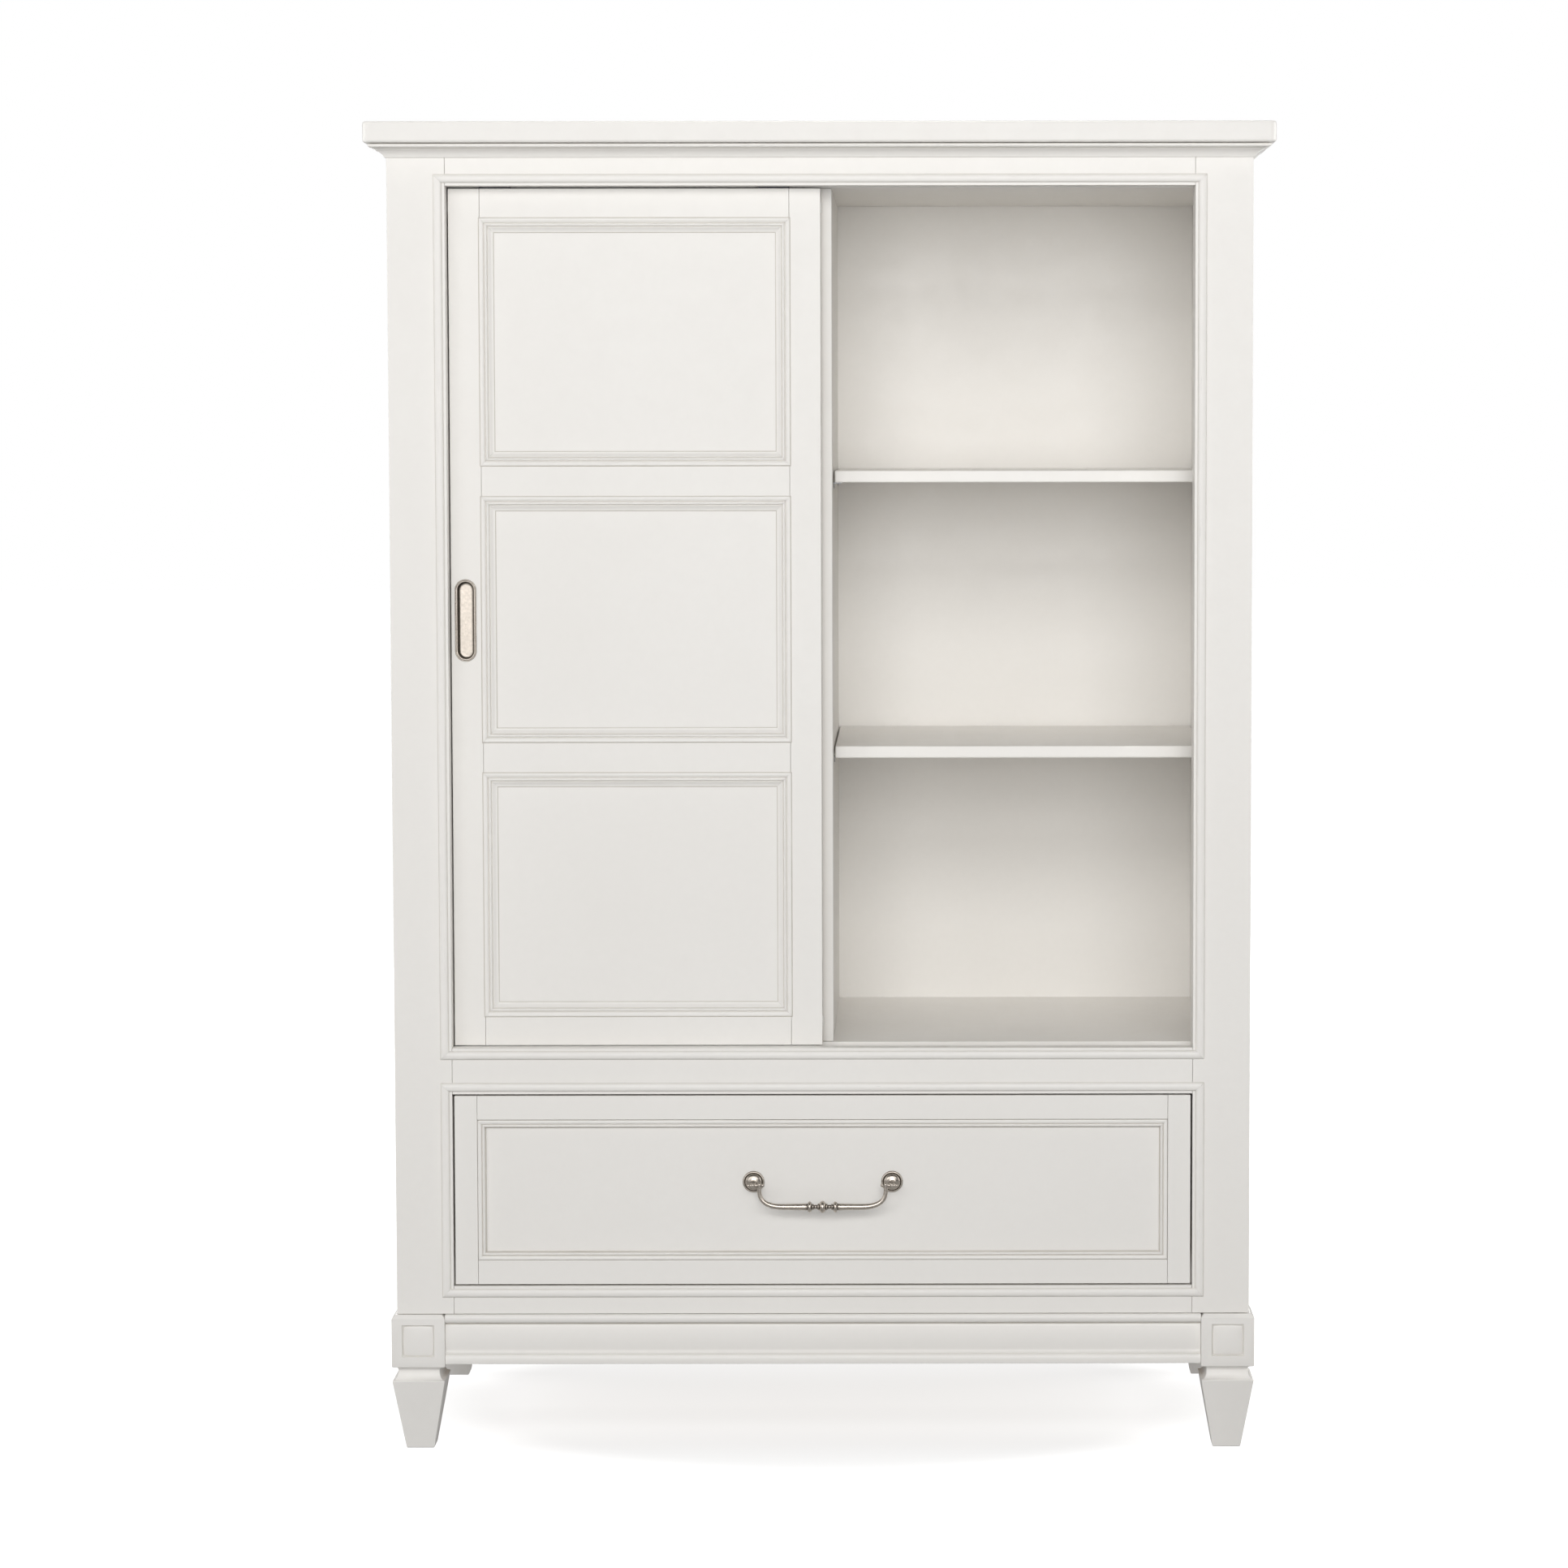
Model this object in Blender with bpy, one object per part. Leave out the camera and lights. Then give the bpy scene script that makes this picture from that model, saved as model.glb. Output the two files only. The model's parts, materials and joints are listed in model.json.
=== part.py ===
"""Armoire: a sliding door before two shelved bays, over one wide drawer with a bail pull.

Units are metres, +Z is up, the front faces -Y, and the origin is under the middle of the case.
Every piece is its own object. Pieces that move hang from an empty on their joint's axis.
"""

import math

import bmesh
import bpy
from mathutils import Matrix, Vector

# ---------------------------------------------------------------- driving dimensions
WIDTH = 1.168  # over the top board
DEPTH = 0.508  # over the top board
HEIGHT = 1.726
GAP = 0.0003  # left between pieces that touch
EASED = 0.0010  # broken edge on boards
FINE = 0.0006  # broken edge on thin boards

TOP_THICK = 0.027
OVERHANG_SIDE = 0.0273
OVERHANG_FRONT = 0.029

STILE_WIDTH = 0.0745
STILE_THICK = 0.042
RAIL_THICK = 0.020
DOOR_SLOT = 0.0235  # front to back, between the rails and the deck
SIDE_THICK = 0.046
DIVIDER_THICK = 0.028
DECK_THICK = 0.0185
SUB_TOP_THICK = 0.018
BACK_THICK = 0.008
BACK_LAP = 0.012

CASE_BOTTOM = 0.180  # top of the leg blocks and of the apron
DRAWER_OPENING = (0.217, 0.4695)
DOOR_OPENING = (0.5298, 1.6455)
DECK_TOP = 0.5315
CEILING = 1.6450
SHELF_TOPS = (0.9168, 1.2796)
SHELF_THICK = 0.0160
SHELF_SETBACK = 0.050  # behind the deck's front edge
SHELF_END_GAP = 0.002

BEAD_WIDTH = 0.010
BEAD_RISE = 0.0042
BEAD_SETBACK = 0.005

BLOCK = 0.0695  # leg block, square on plan and in front view
BLOCK_PROUD = 0.0068
FOOT_TIP = 0.0372
FOOT_LIP_Z = 0.0918
RECESS = 0.0435
RECESS_DEPTH = 0.0022
APRON_BOTTOM = 0.1145

DOOR_THICK = 0.020
DOOR_BOTTOM = 0.5307
DOOR_TOP = 1.6433
DOOR_STILE = 0.0403
DOOR_LEFT_GAP = 0.0017
DOOR_PANEL_HEIGHT = 0.321
DOOR_TOP_RAIL = 0.0368  # visible heights, between the mouldings
DOOR_MID_RAIL = 0.0379
DOOR_MOULDING = 0.0200
MOULDING_LAP = 0.0017
PANEL_THICK = 0.008
PANEL_RECESS = 0.0055

PULL_Z = 1.0863
PULL_INSET = 0.0187  # from the door's left edge
PULL_LENGTH = 0.107
PULL_WIDTH = 0.028
PULL_DEPTH = 0.011
PULL_LIP = 0.0042
PULL_WALL = 0.0010

DRAWER_GAP = 0.0022
DRAWER_SETBACK = 0.001
DRAWER_STILE = 0.0295
DRAWER_RAIL = 0.0315
DRAWER_MOULDING = 0.0110
DRAWER_BOX = (-0.2037, 0.2160)  # front and back of the box sides
DRAWER_BOX_Z = (0.236, 0.430)
BOX_THICK = 0.0127
BOX_BOTTOM_THICK = 0.006
RUNNER_HEIGHT = 0.045
RUNNER_Z = 0.322

PULL_CENTRES = 0.1808
ROSETTE_RADIUS = 0.0141
ROSETTE_Z = 0.3532
PIVOT_Z = 0.3520
PIVOT_OUT = 0.0210  # in front of the drawer panel
BAIL_DROP = 0.0283
BAIL_SQUARENESS = 0.75  # 1 makes its corners quarter ellipses, and less makes them squarer
ARM_INSET = 0.0080  # from a rosette's centre to its arm
PIN_RADIUS = 0.0015
PIN_HOLE = 0.00158

# ---------------------------------------------------------------- planes worked out from them
HALF = WIDTH / 2
CASE_HALF = HALF - OVERHANG_SIDE
OPENING_HALF = CASE_HALF - STILE_WIDTH
WALL_HALF = CASE_HALF - SIDE_THICK
FACE_Y = -DEPTH / 2 + OVERHANG_FRONT
BACK_Y = DEPTH / 2
RAIL_BACK = FACE_Y + RAIL_THICK
DECK_FRONT = RAIL_BACK + DOOR_SLOT
STILE_BACK = FACE_Y + STILE_THICK
PANEL_FRONT = BACK_Y - BACK_THICK
TOP_UNDER = HEIGHT - TOP_THICK
DIVIDER_HALF = DIVIDER_THICK / 2
DOOR_FRONT = RAIL_BACK + 0.0015
DOOR_LEFT = -OPENING_HALF + DOOR_LEFT_GAP
DOOR_RIGHT = -0.0003
DRAWER_FRONT = FACE_Y + DRAWER_SETBACK
DRAWER_HALF = OPENING_HALF - DRAWER_GAP - GAP
PULL_FACE = DRAWER_FRONT + PANEL_RECESS
PIVOT_Y = PULL_FACE - PIVOT_OUT
SIDES = (("left", -1), ("right", 1))


# ---------------------------------------------------------------- tools
def clear_scene():
    for old in list(bpy.data.objects):
        bpy.data.objects.remove(old, do_unlink=True)


def material(name, colour, roughness, metallic=0.0):
    made = bpy.data.materials.new(name)
    made.use_nodes = True
    shader = made.node_tree.nodes["Principled BSDF"]
    shader.inputs["Base Color"].default_value = (*colour, 1.0)
    shader.inputs["Roughness"].default_value = roughness
    shader.inputs["Metallic"].default_value = metallic
    return made


def empty(name, place, parent=None):
    made = bpy.data.objects.new(name, None)
    made.location = Vector(place) - (world_place(parent) if parent else Vector())
    made.parent = parent
    bpy.context.collection.objects.link(made)
    return made


def world_place(thing):
    place = Vector(thing.location)
    while thing.parent:
        thing = thing.parent
        place += thing.location
    return place


def piece(name, bm, finish, body=None, origin=(0, 0, 0), bevel=0.0, smooth=False):
    """Makes an object from a bmesh in world coordinates, with its origin at the given place."""
    origin = Vector(origin)
    bmesh.ops.translate(bm, verts=bm.verts, vec=-origin)
    bmesh.ops.recalc_face_normals(bm, faces=bm.faces)
    mesh = bpy.data.meshes.new(name)
    bm.to_mesh(mesh)
    bm.free()
    made = bpy.data.objects.new(name, mesh)
    bpy.context.collection.objects.link(made)
    made.parent = body
    made.location = origin - (world_place(body) if body else Vector())
    mesh.materials.append(finish)
    if smooth:
        mesh.shade_smooth()
        mesh.set_sharp_from_angle(angle=math.radians(35))
    if bevel:
        cut = made.modifiers.new("eased edges", "BEVEL")
        cut.width = bevel
        cut.segments = 1
        cut.limit_method = "ANGLE"
    return made


def join_solid(target, other, operation="UNION"):
    """Adds or cuts another object as a Boolean, and leaves the other as a hidden guide."""
    other.hide_render = True
    other.display_type = "WIRE"
    cut = target.modifiers.new(operation.lower(), "BOOLEAN")
    cut.operation = operation
    cut.object = other
    return target


def block(bm, low, high):
    low, high = Vector(low), Vector(high)
    size = high - low
    place = Matrix.Translation((low + high) / 2) @ Matrix.Diagonal((*size, 1.0))
    bmesh.ops.create_cube(bm, size=1.0, matrix=place)


def board(name, low, high, finish, body=None, bevel=EASED):
    bm = bmesh.new()
    block(bm, low, high)
    centre = (Vector(low) + Vector(high)) / 2
    return piece(name, bm, finish, body, centre, bevel)


def prism(bm, outline, along, start, stop):
    """Extrudes a flat outline; its two numbers are the axes that follow the extrusion's in XYZ."""
    order = {"x": (0, 1, 2), "y": (1, 0, 2), "z": (2, 0, 1)}[along]

    def corner(point, depth):
        place = [0.0, 0.0, 0.0]
        place[order[0]] = depth
        place[order[1]], place[order[2]] = point
        return place

    first = [bm.verts.new(corner(p, start)) for p in outline]
    last = [bm.verts.new(corner(p, stop)) for p in outline]
    loft(bm, [first, last])
    bm.faces.new(first)
    bm.faces.new(list(reversed(last)))


def loft(bm, rings, closed=False):
    """Bridges equal rings of vertices, one after the other."""
    pairs = list(zip(rings, rings[1:]))
    if closed:
        pairs.append((rings[-1], rings[0]))
    for low, high in pairs:
        for i in range(len(low)):
            j = (i + 1) % len(low)
            bm.faces.new((low[i], low[j], high[j], high[i]))


def frame_ring(bm, low, high, face_y, profile):
    """Runs a section round a rectangle, mitred; the section is (inset, rise towards -Y) points."""
    rings = []
    for side_x, side_z in ((-1, -1), (1, -1), (1, 1), (-1, 1)):
        ring = []
        for inset, rise in profile:
            x = low[0] + inset if side_x < 0 else high[0] - inset
            z = low[1] + inset if side_z < 0 else high[1] - inset
            ring.append(bm.verts.new((x, face_y - rise, z)))
        rings.append(ring)
    loft(bm, rings, closed=True)


def turn(bm, section, centre, axis, segments):
    """Turns a (radius, height) section, which starts and ends on the axis, about that axis."""
    spin = Vector(axis).to_track_quat("Z", "Y").to_matrix()
    centre = Vector(centre)
    ends = [bm.verts.new(centre + spin @ Vector((0, 0, h))) for _, h in (section[0], section[-1])]
    rings = []
    for radius, height in section[1:-1]:
        ring = []
        for i in range(segments):
            angle = math.tau * i / segments
            point = Vector((radius * math.cos(angle), radius * math.sin(angle), height))
            ring.append(bm.verts.new(centre + spin @ point))
        rings.append(ring)
    loft(bm, rings)
    for tip, ring in ((ends[0], rings[0]), (ends[1], rings[-1])):
        for i in range(segments):
            bm.faces.new((tip, ring[i], ring[(i + 1) % segments]))


def arc(centre, radius, start, stop, steps):
    """Points of an arc in a section, angles in degrees."""
    found = []
    for i in range(steps + 1):
        angle = math.radians(start + (stop - start) * i / steps)
        found.append((centre[0] + radius * math.cos(angle), centre[1] + radius * math.sin(angle)))
    return found


# ---------------------------------------------------------------- finishes
def finishes():
    return {
        "paint": material("paint_white", (0.83, 0.815, 0.775), 0.42),
        "inside": material("paint_inside", (0.80, 0.78, 0.735), 0.50),
        "box": material("drawer_wood", (0.72, 0.55, 0.37), 0.50),
        "pewter": material("antique_pewter", (0.42, 0.39, 0.35), 0.32, 1.0),
        "track": material("track_aluminium", (0.66, 0.66, 0.67), 0.38, 1.0),
        "zinc": material("runner_zinc", (0.60, 0.61, 0.63), 0.35, 1.0),
        "nylon": material("glide_nylon", (0.88, 0.87, 0.84), 0.55),
    }


# ---------------------------------------------------------------- case
def top_board(finish):
    corner, rounded = 0.009, 0.0035
    bm = bmesh.new()
    block(bm, (-HALF, -DEPTH / 2, TOP_UNDER), (HALF, BACK_Y, HEIGHT))
    upright = [e for e in bm.edges if abs(e.verts[0].co.z - e.verts[1].co.z) > rounded]
    front = [e for e in upright if e.verts[0].co.y < 0]
    bmesh.ops.bevel(bm, geom=front, offset=corner, segments=4, affect="EDGES", profile=0.5)
    made = piece("top_panel", bm, finish, origin=(0, 0, HEIGHT))
    cut = made.modifiers.new("round over", "BEVEL")
    cut.width, cut.segments, cut.limit_method = rounded, 2, "ANGLE"
    return made


def crown(finish):
    """Fillet and cove under the top board, round the front and both sides."""
    top = TOP_UNDER - GAP
    section = [(GAP, top), (0.0200, top), (0.0215, top - 0.0015), (0.0215, top - 0.0035)]
    section += [(0.0195, top - 0.0050), (0.0150, top - 0.0056), (0.0140, top - 0.0070)]
    section += arc((0.0140, top - 0.0170), 0.0100, 90, 180, 5)[1:]
    section += [(GAP, top - 0.0172)]
    corners = ((-1, BACK_Y - GAP, 0), (-1, FACE_Y, 1), (1, FACE_Y, 1), (1, BACK_Y - GAP, 0))
    bm = bmesh.new()
    rings = []
    for side, y, out in corners:
        rings.append([bm.verts.new((side * (CASE_HALF + o), y - out * o, z)) for o, z in section])
    loft(bm, rings)
    bm.faces.new(rings[0])
    bm.faces.new(list(reversed(rings[-1])))
    return piece("crown_moulding", bm, finish, origin=(0, FACE_Y, TOP_UNDER))


def face_frame(finish):
    low, high = CASE_BOTTOM + GAP, TOP_UNDER - GAP
    for name, side in SIDES:
        inner, outer = sorted((side * OPENING_HALF, side * CASE_HALF))
        board(f"stile_{name}", (inner, FACE_Y, low), (outer, STILE_BACK, high), finish)
    reach = OPENING_HALF - GAP
    rails = {
        "top_rail": (DOOR_OPENING[1], high),
        "bottom_rail": (low, DRAWER_OPENING[0]),
    }
    for name, (z0, z1) in rails.items():
        board(name, (-reach, FACE_Y, z0), (reach, RAIL_BACK, z1), finish)
    slot_floor = DOOR_OPENING[0] - 0.025
    section = [
        (FACE_Y, DRAWER_OPENING[1]),
        (DECK_FRONT - GAP, DRAWER_OPENING[1]),
        (DECK_FRONT - GAP, slot_floor),
        (RAIL_BACK, slot_floor),
        (RAIL_BACK, DOOR_OPENING[0]),
        (FACE_Y, DOOR_OPENING[0]),
    ]
    bm = bmesh.new()
    prism(bm, section, "x", -reach, reach)
    piece("middle_rail", bm, finish, origin=(0, FACE_Y, DOOR_OPENING[0]), bevel=EASED)


def bead(name, opening, finish):
    """Half-round bead applied round an opening, a little back from its edge."""
    half = OPENING_HALF + BEAD_SETBACK + BEAD_WIDTH
    low = (-half, opening[0] - BEAD_SETBACK - BEAD_WIDTH)
    high = (half, opening[1] + BEAD_SETBACK + BEAD_WIDTH)
    section = [(0.0, GAP), (0.0, 0.0010)]
    for i in range(1, 6):
        angle = math.pi * i / 6
        across = (1 - math.cos(angle)) / 2 * BEAD_WIDTH
        section.append((across, 0.0010 + (BEAD_RISE - 0.0010) * math.sin(angle)))
    section += [(BEAD_WIDTH, 0.0010), (BEAD_WIDTH, GAP)]
    bm = bmesh.new()
    frame_ring(bm, low, high, FACE_Y, section)
    piece(name, bm, finish, origin=(0, FACE_Y, (low[1] + high[1]) / 2))


def side_panel(name, side, finish):
    """A thick wall, packed out behind the stile beside the drawer to carry its runner."""
    low, high = CASE_BOTTOM + GAP, TOP_UNDER - GAP
    ledge = DECK_TOP - DECK_THICK - GAP
    packing = OPENING_HALF + 0.0008
    outline = [(CASE_HALF, low), (CASE_HALF, high), (WALL_HALF, high), (WALL_HALF, ledge)]
    outline += [(packing, ledge), (packing, low)]
    bm = bmesh.new()
    prism(bm, [(side * x, z) for x, z in outline], "y", STILE_BACK + GAP, BACK_Y)
    origin = (side * CASE_HALF, 0, low)
    made = piece(f"side_panel_{name}", bm, finish, origin=origin, bevel=FINE)
    rabbet = bmesh.new()
    inner, outer = sorted((side * 0.3, side * (WALL_HALF + BACK_LAP + GAP)))
    block(rabbet, (inner, PANEL_FRONT - GAP, 0), (outer, BACK_Y + 0.1, HEIGHT + 0.1))
    cutter = piece(f"rabbet_cutter_{name}", rabbet, finish)
    join_solid(made, cutter, "DIFFERENCE")


def case_boards(paint, inside):
    back = PANEL_FRONT - GAP
    reach = WALL_HALF - GAP
    deck_low = DECK_TOP - DECK_THICK
    board("bay_floor", (-reach, DECK_FRONT, deck_low), (reach, back, DECK_TOP), inside)
    ceiling_high = CEILING + SUB_TOP_THICK
    board("sub_top", (-reach, DECK_FRONT, CEILING), (reach, back, ceiling_high), inside)
    low = (-DIVIDER_HALF, DECK_FRONT, DECK_TOP + GAP)
    board("centre_divider", low, (DIVIDER_HALF, back, CEILING - GAP), paint, bevel=0.0015)
    lap = WALL_HALF + BACK_LAP
    bottom = CASE_BOTTOM + GAP
    board("back_panel", (-lap, PANEL_FRONT, bottom), (lap, BACK_Y, TOP_UNDER - GAP), inside, bevel=FINE)
    for level, top in zip(("lower", "upper"), SHELF_TOPS):
        for name, side in SIDES:
            near = DIVIDER_HALF + SHELF_END_GAP
            inner, outer = sorted((side * near, side * (WALL_HALF - SHELF_END_GAP)))
            low = (inner, DECK_FRONT + SHELF_SETBACK, top - SHELF_THICK)
            board(f"shelf_{level}_{name}", low, (outer, back - 0.001, top), inside, bevel=0.0018)


def door_track(finish):
    """Aluminium channel with a slot underneath, above the door behind the top rail."""
    low, high, wall, lip = CEILING + 0.005, CEILING + 0.033, 0.0016, 0.0035
    front, back = RAIL_BACK + 0.0008, DECK_FRONT - 0.0008
    middle = (front + back) / 2
    section = [(front, low), (middle - lip, low), (middle - lip, low + wall)]
    section += [(front + wall, low + wall), (front + wall, high - wall)]
    section += [(back - wall, high - wall), (back - wall, low + wall)]
    section += [(middle + lip, low + wall), (middle + lip, low), (back, low)]
    section += [(back, high), (front, high)]
    bm = bmesh.new()
    prism(bm, section, "x", -OPENING_HALF + GAP, OPENING_HALF - GAP)
    piece("door_track", bm, finish, origin=(0, middle, low))


# ---------------------------------------------------------------- base
def apron_section():
    """(out, height) points of the apron: bead, quirk, swelling field, hollow fillet, flat band."""
    top, low = CASE_BOTTOM - GAP, APRON_BOTTOM
    radius = 0.0056
    points = [(-RAIL_THICK, top), (-0.0006, top)]
    points += arc((-0.0006, top - radius), radius, 90, -90, 6)[1:]
    points += [(-0.0032, top - 2 * radius - 0.0002), (-0.0032, top - 0.0138)]
    start, stop = top - 0.0145, low + 0.0172
    for i in range(7):
        share = i / 6
        swell = 4 * 0.0015 * share * (1 - share)
        points.append((-0.0014 + swell, start + (stop - start) * share))
    points += [(0.0006, low + 0.0142), (0.0026, low + 0.0128), (0.0044, low + 0.0098)]
    points += [(0.0048, low + 0.0070), (0.0048, low), (-RAIL_THICK, low)]
    return points


def aprons(finish):
    reach = CASE_HALF + BLOCK_PROUD - BLOCK - GAP
    bm = bmesh.new()
    prism(bm, [(FACE_Y - out, z) for out, z in apron_section()], "x", -reach, reach)
    piece("apron_front", bm, finish, origin=(0, FACE_Y, APRON_BOTTOM))
    start = FACE_Y - BLOCK_PROUD + BLOCK + GAP
    stop = BACK_Y - BLOCK - GAP
    for name, side in SIDES:
        bm = bmesh.new()
        outline = [(side * (CASE_HALF + out), z) for out, z in apron_section()]
        prism(bm, outline, "y", start, stop)
        piece(f"apron_{name}", bm, finish, origin=(side * CASE_HALF, 0, APRON_BOTTOM))


def leg_section():
    """(half width, height) of the leg from the floor up: foot, lip, scotia and block."""
    half, block_low, top = BLOCK / 2, CASE_BOTTOM - BLOCK, CASE_BOTTOM - GAP
    lip = half - 0.0004
    points = [(FOOT_TIP / 2 - 0.0022, 0.0), (FOOT_TIP / 2 + 0.0002, 0.0028)]
    points += [(lip, FOOT_LIP_Z), (lip, FOOT_LIP_Z + 0.0010)]
    neck, throat = half - 0.0078, block_low - 0.0060
    rise = throat - (FOOT_LIP_Z + 0.0010)
    for i in range(1, 5):
        angle = math.radians(90 * i / 4)
        inset = (lip - 0.0012 - neck) * math.sin(angle)
        points.append((lip - 0.0012 - inset, FOOT_LIP_Z + 0.0010 + rise * (1 - math.cos(angle))))
    points += [(neck + 0.0010, block_low - 0.0022), (neck + 0.0028, block_low)]
    points += [(half - 0.0012, block_low), (half, block_low + 0.0014)]
    points += [(half, top - 0.0046), (half - 0.0026, top)]
    return points


def leg(name, side, centre_y, faces, finish):
    """Square leg; each face in faces, an (x, y) direction, gets a sunk square with a raised field."""
    centre = Vector((side * (CASE_HALF + BLOCK_PROUD - BLOCK / 2), centre_y, 0))
    bm = bmesh.new()
    rings = []
    for half, z in leg_section():
        corners = ((-half, -half), (half, -half), (half, half), (-half, half))
        rings.append([bm.verts.new(centre + Vector((x, y, z))) for x, y in corners])
    loft(bm, rings)
    bm.faces.new(rings[0])
    bm.faces.new(rings[-1])
    bmesh.ops.recalc_face_normals(bm, faces=bm.faces)
    middle = CASE_BOTTOM - BLOCK / 2
    for direction in faces:
        way = Vector((*direction, 0))
        sides = [f for f in bm.faces if f.normal.dot(way) > 0.999]
        face = min(sides, key=lambda f: abs(f.calc_center_median().z - middle))
        sink(bm, face, (BLOCK - RECESS) / 2, 0.0, 0.0)
        sink(bm, face, 0.0016, -RECESS_DEPTH, 0.0)
        sink(bm, face, 0.0030, 0.0, RECESS_DEPTH * 0.4)
        sink(bm, face, 0.0090, 0.0, RECESS_DEPTH * 0.4)
    piece(name, bm, finish, origin=centre)


def sink(bm, face, width, depth, rise):
    """Insets a face, then moves what is left of it along its normal."""
    bmesh.ops.inset_individual(bm, faces=[face], thickness=width, depth=0.0, use_even_offset=True)
    shift = face.normal * (depth + rise)
    bmesh.ops.translate(bm, verts=face.verts, vec=shift)


def legs(finish):
    front = FACE_Y - BLOCK_PROUD + BLOCK / 2
    rear = BACK_Y - BLOCK / 2
    for name, side in SIDES:
        leg(f"leg_front_{name}", side, front, ((0, -1), (side, 0)), finish)
        leg(f"leg_rear_{name}", side, rear, ((side, 0),), finish)


# ---------------------------------------------------------------- door
def door_levels():
    """Low and high edges of the three panel mouldings, from the bottom one up."""
    top = DOOR_TOP - DOOR_TOP_RAIL
    found = []
    for _ in range(3):
        found.append((top - DOOR_PANEL_HEIGHT, top))
        top -= DOOR_PANEL_HEIGHT + DOOR_MID_RAIL
    return list(reversed(found))


def door_moulding_section():
    """(inset, rise) of the moulding: rounded band, bead, then a cove down to the panel."""
    seat = -PANEL_RECESS + GAP
    points = [(0.0, GAP), (0.0, 0.0010), (0.0008, 0.0018), (0.0035, 0.0018), (0.0064, 0.0009)]
    points += [(0.0073, -0.0006), (0.0082, 0.0002), (0.0094, 0.0007), (0.0107, 0.0002)]
    points += [(0.0117, -0.0010), (0.0127, -0.0012), (0.0150, -0.0030), (0.0180, -0.0042)]
    points += [(DOOR_MOULDING, -0.0046), (DOOR_MOULDING, seat)]
    step = MOULDING_LAP + GAP
    points += [(step, seat), (step, GAP)]
    return points


def door(body, paint, pewter, nylon):
    back = DOOR_FRONT + DOOR_THICK
    inner = (DOOR_LEFT + DOOR_STILE, DOOR_RIGHT - DOOR_STILE)
    for name, x0, x1 in (("left", DOOR_LEFT, inner[0]), ("right", inner[1], DOOR_RIGHT)):
        low, high = (x0, DOOR_FRONT, DOOR_BOTTOM), (x1, back, DOOR_TOP)
        stile = board(f"door_stile_{name}", low, high, paint, body, bevel=EASED)
        if name == "left":
            join_solid(stile, pull_pocket(body, paint), "DIFFERENCE")
    levels = door_levels()
    edges = [DOOR_BOTTOM]
    for low, high in levels:
        edges += [low + MOULDING_LAP, high - MOULDING_LAP]
    edges.append(DOOR_TOP)
    names = ("bottom", "lower", "upper", "top")
    reach = (inner[0] + GAP, inner[1] - GAP)
    for name, z0, z1 in zip(names, edges[0::2], edges[1::2]):
        low, high = (reach[0], DOOR_FRONT, z0), (reach[1], back, z1)
        board(f"door_rail_{name}", low, high, paint, body)
    panel_front = DOOR_FRONT + PANEL_RECESS
    for name, (z0, z1) in zip(("lower", "middle", "upper"), levels):
        low = (reach[0], panel_front, z0 + MOULDING_LAP + GAP)
        high = (reach[1], panel_front + PANEL_THICK, z1 - MOULDING_LAP - GAP)
        board(f"door_panel_{name}", low, high, paint, body, bevel=FINE)
        bm = bmesh.new()
        corners = (inner[0] - MOULDING_LAP, z0), (inner[1] + MOULDING_LAP, z1)
        frame_ring(bm, *corners, DOOR_FRONT, door_moulding_section())
        origin = (sum(inner) / 2, DOOR_FRONT, (z0 + z1) / 2)
        piece(f"door_moulding_{name}", bm, paint, body, origin)
    flush_pull(body, pewter)
    door_glides(body, nylon)


def stadium(bm, centre, radius, straight, y, steps=8):
    """Ring of vertices round an upright slot shape in the plane of the door."""
    ring = []
    for start, shift in ((0, straight), (180, -straight)):
        for i in range(steps + 1):
            angle = math.radians(start + 180 * i / steps)
            x = centre[0] + radius * math.cos(angle)
            ring.append(bm.verts.new((x, y, centre[1] + shift + radius * math.sin(angle))))
    return ring


def pull_place():
    return (DOOR_LEFT + PULL_INSET, PULL_Z)


def pull_pocket(body, finish):
    """Cutter for the pocket that the flush pull's cup sits in."""
    radius = PULL_WIDTH / 2 - PULL_LIP + PULL_WALL + GAP
    straight = (PULL_LENGTH - PULL_WIDTH) / 2
    bm = bmesh.new()
    rings = []
    for y in (DOOR_FRONT - 0.01, DOOR_FRONT + PULL_DEPTH + PULL_WALL + 2 * GAP):
        rings.append(stadium(bm, pull_place(), radius, straight, y))
    loft(bm, rings)
    for ring in rings:
        bm.faces.new(ring)
    return piece("pull_pocket_cutter", bm, finish, body)


def flush_pull(body, finish):
    """Oblong recessed pull: a raised lip round a thin-walled cup."""
    radius, straight = PULL_WIDTH / 2, (PULL_LENGTH - PULL_WIDTH) / 2
    throat = radius - PULL_LIP
    section = [(throat - 0.0012, -PULL_DEPTH), (throat, -PULL_DEPTH + 0.0012), (throat, -0.0002)]
    section += [(throat + 0.0010, 0.0011), (radius - 0.0018, 0.0015), (radius - 0.0004, 0.0009)]
    section += [(radius, GAP), (throat + PULL_WALL, GAP)]
    section += [(throat + PULL_WALL, -PULL_DEPTH - PULL_WALL)]
    bm = bmesh.new()
    place = pull_place()
    rings = [stadium(bm, place, r, straight, DOOR_FRONT - rise) for r, rise in section]
    loft(bm, rings)
    bm.faces.new(rings[0])
    bm.faces.new(rings[-1])
    piece("flush_pull", bm, finish, body, (place[0], DOOR_FRONT, place[1]), smooth=True)


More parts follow.
